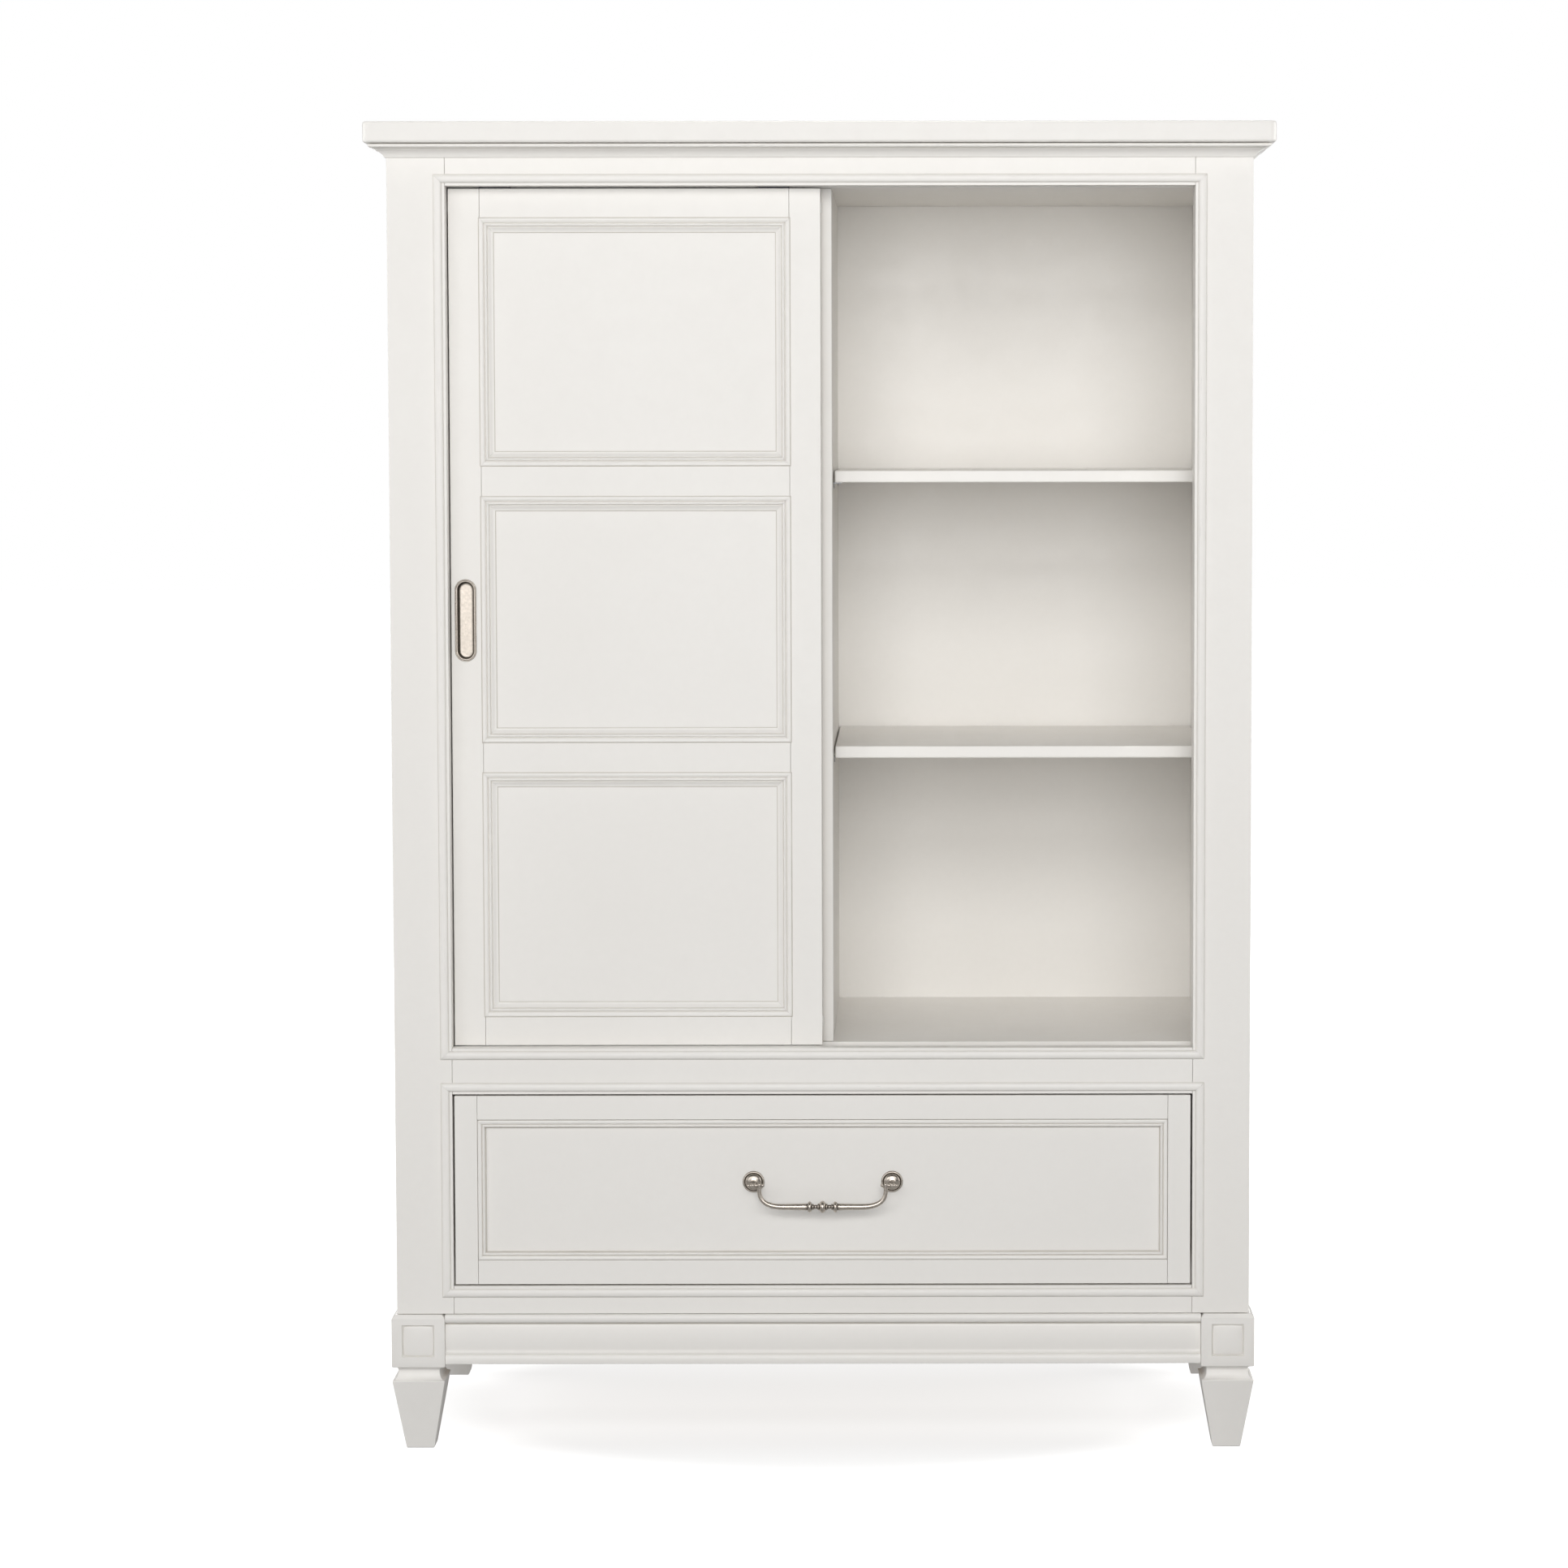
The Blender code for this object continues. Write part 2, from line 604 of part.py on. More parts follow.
def door_glides(body, finish):
    """Two hangers that run in the track, and a guide strip in the slot under the door."""
    middle = DOOR_FRONT + DOOR_THICK / 2
    base, head = DOOR_TOP + GAP, CEILING + 0.005 + 0.0016 + 0.0008
    section = [(-0.008, base), (0.008, base), (0.008, base + 0.002), (0.002, base + 0.002)]
    section += [(0.002, head), (0.0075, head), (0.0075, head + 0.009), (-0.0075, head + 0.009)]
    section += [(-0.0075, head), (-0.002, head), (-0.002, base + 0.002), (-0.008, base + 0.002)]
    for name, x in (("left", DOOR_LEFT + 0.060), ("right", DOOR_RIGHT - 0.060)):
        bm = bmesh.new()
        prism(bm, [(middle + y, z) for y, z in section], "x", x - 0.020, x + 0.020)
        piece(f"door_hanger_{name}", bm, finish, body, (x, middle, base))
    low = (DOOR_LEFT + 0.010, middle - 0.005, DOOR_OPENING[0] - 0.020)
    high = (DOOR_RIGHT - 0.010, middle + 0.005, DOOR_BOTTOM - GAP)
    board("door_guide_strip", low, high, finish, body, bevel=FINE)


# ---------------------------------------------------------------- drawer
def drawer_moulding_section():
    """(inset, rise) of the moulding inside the drawer front: band, bead, drop to the panel."""
    seat = -PANEL_RECESS + GAP
    return [
        (GAP, seat),
        (GAP, 0.0004),
        (0.0010, 0.0010),
        (0.0030, 0.0008),
        (0.0052, -0.0002),
        (0.0060, -0.0018),
        (0.0069, -0.0012),
        (0.0082, -0.0007),
        (0.0096, -0.0014),
        (0.0104, -0.0030),
        (DRAWER_MOULDING, -0.0036),
        (DRAWER_MOULDING, seat),
    ]


def drawer(body, paint, wood, zinc):
    front, back = DRAWER_FRONT, DRAWER_FRONT + RAIL_THICK
    low_z, high_z = DRAWER_OPENING[0] + DRAWER_GAP, DRAWER_OPENING[1] - DRAWER_GAP
    inner = DRAWER_HALF - DRAWER_STILE
    for name, side in SIDES:
        x0, x1 = sorted((side * inner, side * DRAWER_HALF))
        board(f"drawer_front_stile_{name}", (x0, front, low_z), (x1, back, high_z), paint, body)
    reach = inner - GAP
    levels = {
        "bottom": (low_z, low_z + DRAWER_RAIL),
        "top": (high_z - DRAWER_RAIL, high_z),
    }
    for name, (z0, z1) in levels.items():
        low, high = (-reach, front, z0), (reach, back, z1)
        board(f"drawer_front_rail_{name}", low, high, paint, body)
    field = (levels["bottom"][1], levels["top"][0])
    low = (-reach, front + PANEL_RECESS, field[0] + GAP)
    high = (reach, front + PANEL_RECESS + PANEL_THICK, field[1] - GAP)
    board("drawer_front_panel", low, high, paint, body, bevel=FINE)
    bm = bmesh.new()
    frame_ring(bm, (-inner, field[0]), (inner, field[1]), front, drawer_moulding_section())
    piece("drawer_front_moulding", bm, paint, body, (0, front, sum(field) / 2))
    drawer_box(body, wood)
    for name, side in SIDES:
        near, far = DRAWER_BOX[0] + GAP, DRAWER_BOX[1] - 0.020
        runner(f"drawer_runner_{name}", side, box_half() + GAP, 0.0055, 0.030, near, far, zinc, body)


def box_half():
    return OPENING_HALF - 0.0130


def drawer_box(body, wood):
    low_z, high_z = DRAWER_BOX_Z
    front, back = DRAWER_BOX
    outer, inner = box_half(), box_half() - BOX_THICK
    for name, side in SIDES:
        x0, x1 = sorted((side * inner, side * outer))
        board(f"drawer_side_{name}", (x0, front, low_z), (x1, back, high_z), wood, body)
    reach = inner - GAP
    bottom = low_z + 0.010
    low = (-reach, back - BOX_THICK, bottom)
    board("drawer_back", low, (reach, back, high_z - 0.008), wood, body)
    low = (-reach, front, bottom)
    high = (reach, back - BOX_THICK - GAP, bottom + BOX_BOTTOM_THICK)
    board("drawer_bottom", low, high, wood, body, bevel=FINE)


def runner(name, side, near, thick, height, start, stop, finish, body=None):
    """Folded steel runner, a shallow C open towards its partner; a thick below 0 opens inwards."""
    wall, half = 0.0014, height / 2
    web = math.copysign(wall, thick)
    outline = [(0, -half), (thick, -half), (thick, -half + wall), (web, -half + wall)]
    outline += [(web, half - wall), (thick, half - wall), (thick, half), (0, half)]
    bm = bmesh.new()
    prism(bm, [(side * (near + x), RUNNER_Z + z) for x, z in outline], "y", start, stop)
    piece(name, bm, finish, body, (side * near, 0, RUNNER_Z))


def case_runners(finish):
    outer = OPENING_HALF + 0.0008 - GAP
    for name, side in SIDES:
        start, stop = STILE_BACK + 0.002, DRAWER_BOX[1] - 0.010
        runner(f"case_runner_{name}", side, outer, -0.0055, RUNNER_HEIGHT, start, stop, finish)


# ---------------------------------------------------------------- bail pull
def rosette(name, side, body, finish):
    """Turned back plate with a domed boss and a drilled post for the bail's pin."""
    x = side * PULL_CENTRES / 2
    plate = ROSETTE_RADIUS
    section = [(0.0, 0.0), (plate, 0.0), (plate, 0.0014), (plate - 0.0010, 0.0024)]
    section += [(plate - 0.0028, 0.0026), (0.0098, 0.0022), (0.0090, 0.0030)]
    for i in range(1, 5):
        angle = math.radians(90 * i / 5)
        section.append((0.0090 * math.cos(angle), 0.0030 + 0.0052 * math.sin(angle)))
    section.append((0.0, 0.0082))
    bm = bmesh.new()
    turn(bm, section, (x, PULL_FACE - GAP, ROSETTE_Z), (0, -1, 0), 24)
    made = piece(name, bm, finish, body, (x, PULL_FACE, ROSETTE_Z), smooth=True)
    post = bmesh.new()
    reach = PIVOT_OUT - GAP
    knob = 0.0042
    shaft = [(0.0, 0.0030), (0.0032, 0.0030), (0.0032, reach - 0.0030)]
    for i in range(1, 6):
        angle = math.radians(-45 + 135 * i / 6)
        shaft.append((knob * math.cos(angle), reach + knob * math.sin(angle)))
    shaft.append((0.0, reach + knob))
    turn(post, shaft, (x, PULL_FACE - GAP, PIVOT_Z), (0, -1, 0), 16)
    join_solid(made, piece(f"post_guide_{name}", post, finish, body))
    hole = bmesh.new()
    drill = [(0.0, -0.02), (PIN_HOLE, -0.02), (PIN_HOLE, 0.02), (0.0, 0.02)]
    turn(hole, drill, (x, PIVOT_Y, PIVOT_Z), (1, 0, 0), 16)
    join_solid(made, piece(f"pin_cutter_{name}", hole, finish, body), "DIFFERENCE")


def bail_path(steps=9):
    """(x, z, radius) down one arm and along the bar to its first bead, from the left pivot."""
    start = -PULL_CENTRES / 2 + ARM_INSET
    shoulder, run = 0.0045, 0.034
    points = [(start, PIVOT_Z + 0.0012, 0.0024), (start, PIVOT_Z - shoulder, 0.0025)]
    drop = BAIL_DROP - shoulder
    for i in range(1, steps + 1):
        angle = math.radians(90 * i / steps)
        x = start + run * (1 - math.cos(angle) ** BAIL_SQUARENESS)
        z = PIVOT_Z - shoulder - drop * math.sin(angle) ** BAIL_SQUARENESS
        points.append((x, z, 0.0025 + 0.0014 * i / steps))
    points.append((-0.0200, PIVOT_Z - BAIL_DROP, 0.0046))
    return points


def turned_centre():
    """(x, radius) of the beads and rings in the middle of the bar, left half."""
    found = [(-0.0195, 0.0049)]
    found += bulge(-0.0166, 0.0024, 0.0052, 0.0068)
    found += [(-0.0136, 0.0035)]
    found += bulge(-0.0125, 0.0010, 0.0036, 0.0045)
    found += [(-0.0110, 0.0025)]
    found += bulge(-0.0090, 0.0013, 0.0026, 0.0031)
    found += [(-0.0071, 0.0025)]
    found += bulge(-0.0055, 0.0010, 0.0038, 0.0047)
    found += [(-0.0043, 0.0046), (-0.0030, 0.0066), (-0.0014, 0.0077)]
    return found


def bulge(x, half, edge, crest):
    """Three stations over one rounded ring."""
    return [(x - half, edge), (x, crest), (x + half, edge)]


def bail_stations():
    left = [(x, z, r) for x, z, r in bail_path()]
    left += [(x, PIVOT_Z - BAIL_DROP, r) for x, r in turned_centre()]
    middle = [(0.0, PIVOT_Z - BAIL_DROP, 0.0079)]
    return left + middle + [(-x, z, r) for x, z, r in reversed(left)]


def bail(body, finish):
    """Round bar swept along the stations, with a ball-ended pin through each arm's top."""
    stations, around = bail_stations(), 12
    bm = bmesh.new()
    rings = []
    for i, (x, z, radius) in enumerate(stations):
        before, after = stations[max(i - 1, 0)], stations[min(i + 1, len(stations) - 1)]
        heading = Vector((after[0] - before[0], 0, after[1] - before[1])).normalized()
        across = heading.cross(Vector((0, 1, 0)))
        ring = []
        for k in range(around):
            angle = math.tau * k / around
            offset = radius * (math.cos(angle) * across + math.sin(angle) * Vector((0, 1, 0)))
            ring.append(bm.verts.new(Vector((x, PIVOT_Y, z)) + offset))
        rings.append(ring)
    loft(bm, rings)
    bm.faces.new(rings[0])
    bm.faces.new(rings[-1])
    made = piece("bail_handle", bm, finish, body, (0, PIVOT_Y, PIVOT_Z), smooth=True)
    for name, side in SIDES:
        pin = bmesh.new()
        ball, reach, outward = 0.0023, ARM_INSET + 0.0046, 0.0058
        section = [(0.0, -reach - 0.0012)]
        section += ball_end(-reach, ball, -60, 50)
        section += [(PIN_RADIUS, -reach + 0.0024), (PIN_RADIUS, outward - 0.0024)]
        section += ball_end(outward, ball, -50, 60)
        section.append((0.0, outward + ball))
        section[0] = (0.0, -reach - ball)
        turn(pin, section, (side * PULL_CENTRES / 2, PIVOT_Y, PIVOT_Z), (side, 0, 0), 12)
        join_solid(made, piece(f"pin_guide_{name}", pin, finish, body))


def ball_end(height, radius, start, stop, steps=4):
    """Section points of a small ball whose middle is at the given height along the pin."""
    found = []
    for i in range(steps + 1):
        angle = math.radians(start + (stop - start) * i / steps)
        found.append((radius * math.cos(angle), height + radius * math.sin(angle)))
    return found


# ---------------------------------------------------------------- assembly
def main():
    clear_scene()
    use = finishes()
    top_board(use["paint"])
    crown(use["paint"])
    face_frame(use["paint"])
    bead("door_opening_bead", DOOR_OPENING, use["paint"])
    bead("drawer_opening_bead", DRAWER_OPENING, use["paint"])
    for name, side in SIDES:
        side_panel(name, side, use["paint"])
    case_boards(use["paint"], use["inside"])
    door_track(use["track"])
    aprons(use["paint"])
    legs(use["paint"])
    case_runners(use["zinc"])

    door_body = empty("door_slide", (0, DOOR_FRONT + DOOR_THICK / 2, DOOR_TOP))
    door(door_body, use["paint"], use["pewter"], use["nylon"])
    drawer_body = empty("drawer_slide", (0, DRAWER_FRONT, RUNNER_Z))
    drawer(drawer_body, use["paint"], use["box"], use["zinc"])
    for name, side in SIDES:
        rosette(f"rosette_{name}", side, drawer_body, use["pewter"])
    bail_body = empty("bail_swing", (0, PIVOT_Y, PIVOT_Z), drawer_body)
    bail(bail_body, use["pewter"])


main()
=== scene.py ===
"""Looks of the armoire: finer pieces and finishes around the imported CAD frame.

Metres, +Z up, front towards -Y. Places come from the frame's own nodes.
"""

import json
import math

import bmesh
import bpy
from mathutils import Matrix, Vector

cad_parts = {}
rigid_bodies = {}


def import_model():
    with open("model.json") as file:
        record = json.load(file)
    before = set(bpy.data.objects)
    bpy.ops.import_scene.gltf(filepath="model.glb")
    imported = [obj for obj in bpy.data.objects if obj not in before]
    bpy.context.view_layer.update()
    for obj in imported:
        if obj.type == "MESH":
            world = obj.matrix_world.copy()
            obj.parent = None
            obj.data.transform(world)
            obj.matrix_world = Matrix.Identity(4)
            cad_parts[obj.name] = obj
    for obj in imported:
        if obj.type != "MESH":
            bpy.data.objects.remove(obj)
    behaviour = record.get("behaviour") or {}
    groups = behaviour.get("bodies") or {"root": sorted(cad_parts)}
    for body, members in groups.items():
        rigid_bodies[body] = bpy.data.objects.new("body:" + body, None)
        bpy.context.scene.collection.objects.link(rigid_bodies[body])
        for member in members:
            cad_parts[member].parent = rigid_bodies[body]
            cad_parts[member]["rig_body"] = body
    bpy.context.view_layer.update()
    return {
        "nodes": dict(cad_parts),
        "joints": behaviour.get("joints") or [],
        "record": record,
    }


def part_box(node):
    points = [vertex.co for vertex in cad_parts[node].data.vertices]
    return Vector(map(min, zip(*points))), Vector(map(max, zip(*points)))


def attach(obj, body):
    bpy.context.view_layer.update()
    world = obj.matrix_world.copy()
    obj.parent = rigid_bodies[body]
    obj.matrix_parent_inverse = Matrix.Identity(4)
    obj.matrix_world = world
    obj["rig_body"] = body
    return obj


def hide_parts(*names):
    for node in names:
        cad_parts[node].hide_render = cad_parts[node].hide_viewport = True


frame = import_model()

NODES = frame["nodes"]
SLOT_OF = {row["node"]: row["material_slot"] for row in frame["record"]["subparts"]}
JOINTS = {joint["name"]: joint for joint in frame["joints"]}
SIDES = (("left", -1), ("right", 1))
LEVELS = ("lower", "middle", "upper")

# ---------------------------------------------------------------- camera
FOCAL_PX = 5009.0
PICTURE = 1932.0
AXIS_U, AXIS_V = 1130.0, 869.0  # where the lens's axis meets the picture
CAMERA_PLACE = (0.1155, -5.4756, 1.3219)
PITCH, YAW, ROLL = 3.761, 0.091, 0.064  # degrees: down, towards +X, clockwise


def make_camera():
    data = bpy.data.cameras.new("camera")
    camera = bpy.data.objects.new("camera", data)
    bpy.context.scene.collection.objects.link(camera)
    data.sensor_width = 36.0
    data.lens = FOCAL_PX * data.sensor_width / PICTURE
    data.shift_x = (PICTURE / 2 - AXIS_U) / PICTURE
    data.shift_y = (AXIS_V - PICTURE / 2) / PICTURE
    turn = Matrix.Rotation(math.radians(-YAW), 4, "Z")
    turn = turn @ Matrix.Rotation(math.radians(90 - PITCH), 4, "X")
    turn = turn @ Matrix.Rotation(math.radians(-ROLL), 4, "Z")
    camera.matrix_world = Matrix.Translation(CAMERA_PLACE) @ turn
    bpy.context.scene.camera = camera


# ---------------------------------------------------------------- studio
SKY_LIGHT, GROUND_LIGHT = 0.05, 0.39  # the room's own light from above and from below
AREA_LIGHTS = {  # name: (place, target, width, height, watts)
    "high_front": ((0.0, -5.5, 3.8), (0.0, 0.0, 1.0), 4.0, 1.5, 89.0),
    "camera_side": ((0.3, -6.5, 1.8), (0.0, 0.0, 0.9), 4.0, 2.4, 136.0),
    "left_front": ((-3.6, -3.6, 1.9), (0.0, 0.0, 0.9), 1.6, 2.4, 22.0),
    "left_near": ((-2.0, -3.2, 2.2), (0.0, 0.0, 0.9), 1.2, 1.2, 14.0),
    "right_near": ((2.0, -3.2, 2.2), (0.0, 0.0, 0.9), 1.2, 1.2, 12.0),
    "left": ((-4.6, 0.3, 1.9), (0.0, 0.0, 0.9), 2.4, 2.4, 90.0),
    "right": ((4.6, 0.3, 1.9), (0.0, 0.0, 0.9), 2.4, 2.4, 110.0),
    "back": ((0.0, 4.8, 2.4), (0.0, 0.0, 0.9), 3.4, 2.2, 150.0),
    "above": ((0.0, -0.05, 3.2), (0.0, -0.05, 1.7), 1.0, 0.3, 13.0),
}
# the floor glows; its dimmer glow under the case paints a soft shadow there
FLOOR_GLOW, FLOOR_GLOW_FAR = 0.67, 1.0  # under the case, and away from it
FLOOR_SHADOW_PATCH = (0.56, 0.42)  # half sizes of the greyer floor under the case, in metres
FLOOR_SHADOW_SHIFT = -0.12  # moves it back, as a share of its half depth
FLOOR_FADE = (0.80, 1.15)  # where it starts and ends to fade, as shares of the half sizes
HORIZON = 0.15  # half the band in which the room's light turns from ground to sky
FLOOR_COLOUR = (0.42, 0.42, 0.42)


def make_studio():
    scene = bpy.context.scene
    scene.view_settings.view_transform = "Standard"
    world = bpy.data.worlds.new("studio")
    scene.world = world
    world.use_nodes = True
    tree = world.node_tree
    tree.nodes.clear()
    out = tree.nodes.new("ShaderNodeOutputWorld")
    mix = tree.nodes.new("ShaderNodeMixShader")
    path = tree.nodes.new("ShaderNodeLightPath")
    shown = tree.nodes.new("ShaderNodeBackground")
    lighting = tree.nodes.new("ShaderNodeBackground")
    shown.inputs["Strength"].default_value = 1.0
    shown.inputs["Color"].default_value = (1.0, 1.0, 1.0, 1.0)
    lighting.inputs["Color"].default_value = (1.0, 1.0, 1.0, 1.0)
    place = tree.nodes.new("ShaderNodeTexCoord")
    split = tree.nodes.new("ShaderNodeSeparateXYZ")
    height = tree.nodes.new("ShaderNodeMapRange")
    height.inputs["From Min"].default_value = -HORIZON
    height.inputs["From Max"].default_value = HORIZON
    height.inputs["To Min"].default_value = GROUND_LIGHT
    height.inputs["To Max"].default_value = SKY_LIGHT
    tree.links.new(place.outputs["Generated"], split.inputs["Vector"])
    tree.links.new(split.outputs["Z"], height.inputs["Value"])
    tree.links.new(height.outputs["Result"], lighting.inputs["Strength"])
    tree.links.new(path.outputs["Is Camera Ray"], mix.inputs["Fac"])
    tree.links.new(lighting.outputs["Background"], mix.inputs[1])
    tree.links.new(shown.outputs["Background"], mix.inputs[2])
    tree.links.new(mix.outputs["Shader"], out.inputs["Surface"])
    for name, (place, target, width, height, watts) in AREA_LIGHTS.items():
        data = bpy.data.lights.new(name, "AREA")
        data.shape = "RECTANGLE"
        data.size, data.size_y = width, height
        data.energy = watts
        light = bpy.data.objects.new(name, data)
        light.location = place
        light.visible_camera = False
        aim = Vector(target) - Vector(place)
        light.rotation_euler = aim.to_track_quat("-Z", "Y").to_euler()
        scene.collection.objects.link(light)
    bpy.ops.mesh.primitive_plane_add(size=60.0)
    floor = bpy.context.object
    floor.name = "studio_floor"
    floor.data.materials.append(floor_material())
    floor.visible_diffuse = False
    floor.visible_glossy = False


def floor_material():
    made = bpy.data.materials.new("studio_floor")
    made.use_nodes = True
    tree = made.node_tree
    shader = tree.nodes["Principled BSDF"]
    shader.inputs["Base Color"].default_value = (*FLOOR_COLOUR, 1.0)
    shader.inputs["Roughness"].default_value = 0.9
    shader.inputs["Specular IOR Level"].default_value = 0.0
    shader.inputs["Emission Color"].default_value = (1.0, 1.0, 1.0, 1.0)
    place = tree.nodes.new("ShaderNodeTexCoord")
    scaled = tree.nodes.new("ShaderNodeMapping")
    scaled.inputs["Scale"].default_value = (1 / FLOOR_SHADOW_PATCH[0], 1 / FLOOR_SHADOW_PATCH[1], 0.0)
    scaled.inputs["Location"].default_value = (0.0, FLOOR_SHADOW_SHIFT, 0.0)
    reach = tree.nodes.new("ShaderNodeVectorMath")
    reach.operation = "LENGTH"
    # glow is lowest in the patch under the case: a painted shadow
    glow = tree.nodes.new("ShaderNodeMapRange")
    glow.interpolation_type = "SMOOTHSTEP"
    glow.inputs["From Min"].default_value = FLOOR_FADE[0]
    glow.inputs["From Max"].default_value = FLOOR_FADE[1]
    glow.inputs["To Min"].default_value = FLOOR_GLOW
    glow.inputs["To Max"].default_value = FLOOR_GLOW_FAR
    tree.links.new(place.outputs["Object"], scaled.inputs["Vector"])
    tree.links.new(scaled.outputs["Vector"], reach.inputs[0])
    tree.links.new(reach.outputs["Value"], glow.inputs["Value"])
    tree.links.new(glow.outputs["Result"], shader.inputs["Emission Strength"])
    return made


# ---------------------------------------------------------------- finishes
class Finish:
    """Small helper that wires one procedural Principled material."""

    def __init__(self, name, roughness, metallic=0.0):
        self.material = bpy.data.materials.new(name)
        self.material.use_nodes = True
        self.tree = self.material.node_tree
        self.shader = self.tree.nodes["Principled BSDF"]
        self.shader.inputs["Roughness"].default_value = roughness
        self.shader.inputs["Metallic"].default_value = metallic
        self.place = self.node("ShaderNodeTexCoord").outputs["Object"]

    def node(self, kind, **values):
        made = self.tree.nodes.new(kind)
        for key, value in values.items():
            setattr(made, key, value)
        return made

    def link(self, source, target):
        self.tree.links.new(source, target)

    def stretched(self, scale, source=None):
        mapping = self.node("ShaderNodeMapping")
        mapping.inputs["Scale"].default_value = scale
        self.link(source or self.place, mapping.inputs["Vector"])
        return mapping.outputs["Vector"]

    def noise(self, scale, detail=2.0, rough=0.5, vector=None, distortion=0.0):
        made = self.node("ShaderNodeTexNoise")
        made.inputs["Scale"].default_value = scale
        made.inputs["Detail"].default_value = detail
        made.inputs["Roughness"].default_value = rough
        made.inputs["Distortion"].default_value = distortion
        self.link(vector or self.place, made.inputs["Vector"])
        return made.outputs["Fac"]

    def ramp(self, source, low, high, out_low=0.0, out_high=1.0):
        made = self.node("ShaderNodeMapRange")
        made.clamp = True
        ends = {"From Min": low, "From Max": high, "To Min": out_low, "To Max": out_high}
        for key, value in ends.items():
            made.inputs[key].default_value = value
        self.link(source, made.inputs["Value"])
        return made.outputs["Result"]

    def maths(self, kind, first, second):
        made = self.node("ShaderNodeMath", operation=kind)
        for slot, value in enumerate((first, second)):
            if isinstance(value, (int, float)):
                made.inputs[slot].default_value = value
            else:
                self.link(value, made.inputs[slot])
        return made.outputs["Value"]

    def mix(self, factor, first, second):
        made = self.node("ShaderNodeMix", data_type="RGBA")
        self.link(factor, made.inputs["Factor"])
        for slot, value in (("A", first), ("B", second)):
            socket = next(s for s in made.inputs if s.name == slot and s.type == "RGBA")
            if isinstance(value, tuple):
                socket.default_value = (*value, 1.0)
            else:
                self.link(value, socket)
        return next(s for s in made.outputs if s.type == "RGBA")

    def mask(self, name):
        return self.node("ShaderNodeAttribute", attribute_name=name).outputs["Fac"]

    def colour(self, source):
        self.link(source, self.shader.inputs["Base Color"])

    def roughness(self, source):
        self.link(source, self.shader.inputs["Roughness"])

    def bump(self, *layers):
        """Each layer is (height, distance in metres)."""
        normal = None
        for height, distance in layers:
            made = self.node("ShaderNodeBump")
            made.inputs["Strength"].default_value = 1.0
            made.inputs["Distance"].default_value = distance
            self.link(height, made.inputs["Height"])
            if normal is not None:
                self.link(normal, made.inputs["Normal"])
            normal = made.outputs["Normal"]
        self.link(normal, self.shader.inputs["Normal"])


def paint(name, light, shade, grey=(0.40, 0.40, 0.39), glaze_and_shade=(0.40, 0.345, 0.27), matt=0.0):
    """Sprayed satin paint, with glaze and painted shade in the quirks and rubbed crests on the mouldings.
    """
    made = Finish(name, 0.42)
    cloud = made.ramp(made.noise(2.6, 3.0), 0.3, 0.7)
    fine = made.ramp(made.noise(85.0, 3.0, 0.6), 0.3, 0.7)
    base = made.mix(cloud, light, shade)
    base = made.mix(made.maths("MULTIPLY", fine, 0.25), base, tuple(0.965 * c for c in shade))
    wear, glaze_and_shade_mask = made.mask("wear"), made.mask("glaze_and_shade")
    along = made.node("ShaderNodeUVMap", uv_map="run").outputs["UV"]
    streak = made.noise(1.0, 4.0, 0.65, made.stretched((26.0, 900.0, 1.0), along), 0.4)
    patch = made.noise(1.0, 2.0, 0.5, made.stretched((5.0, 60.0, 1.0), along))
    rubbed = made.maths("MULTIPLY", made.ramp(streak, 0.60, 0.68), made.ramp(patch, 0.50, 0.62))
    rubbed = made.maths("MULTIPLY", rubbed, wear)
    base = made.mix(made.maths("MULTIPLY", rubbed, 0.55), base, grey)
    # darkens towards a warm brown where the darkening mask is set: partly glaze, partly painted shade in
    # the quirks and recesses, and the painted shadow of the door on the divider's front
    held = made.maths("MULTIPLY", glaze_and_shade_mask, made.ramp(patch, 0.2, 0.8, 0.30, 0.62))
    base = made.mix(held, base, glaze_and_shade)
    made.colour(base)
    made.roughness(made.ramp(made.noise(40.0, 3.0), 0.25, 0.75, 0.36 + matt, 0.47 + matt))
    peel = made.noise(620.0, 2.0, 0.55)
    sag = made.noise(38.0, 1.0, 0.4)
    made.bump((sag, 0.00006), (peel, 0.000035))
    return made.material


def pewter(name, bright, dark, low=0.25, high=0.38):
    """Antique plated metal: darker in the hollows and softly polished on the crests."""
    made = Finish(name, 0.32, 1.0)
    hollow = made.mask("glaze_and_shade")
    cloud = made.ramp(made.noise(240.0, 4.0, 0.6), 0.35, 0.68)
    base = made.mix(cloud, bright, tuple(0.80 * c for c in bright))
    patina = made.maths("MULTIPLY", hollow, made.ramp(made.noise(500.0, 3.0), 0.3, 0.6, 0.7, 1.0))
    base = made.mix(patina, base, dark)
    made.colour(base)
    rough = made.ramp(made.noise(380.0, 3.0), 0.3, 0.7, low, high)
    made.roughness(made.maths("ADD", rough, made.maths("MULTIPLY", hollow, 0.18)))
    made.bump((made.noise(900.0, 3.0, 0.6), 0.00003), (made.noise(150.0, 2.0), 0.00005))
    return made.material


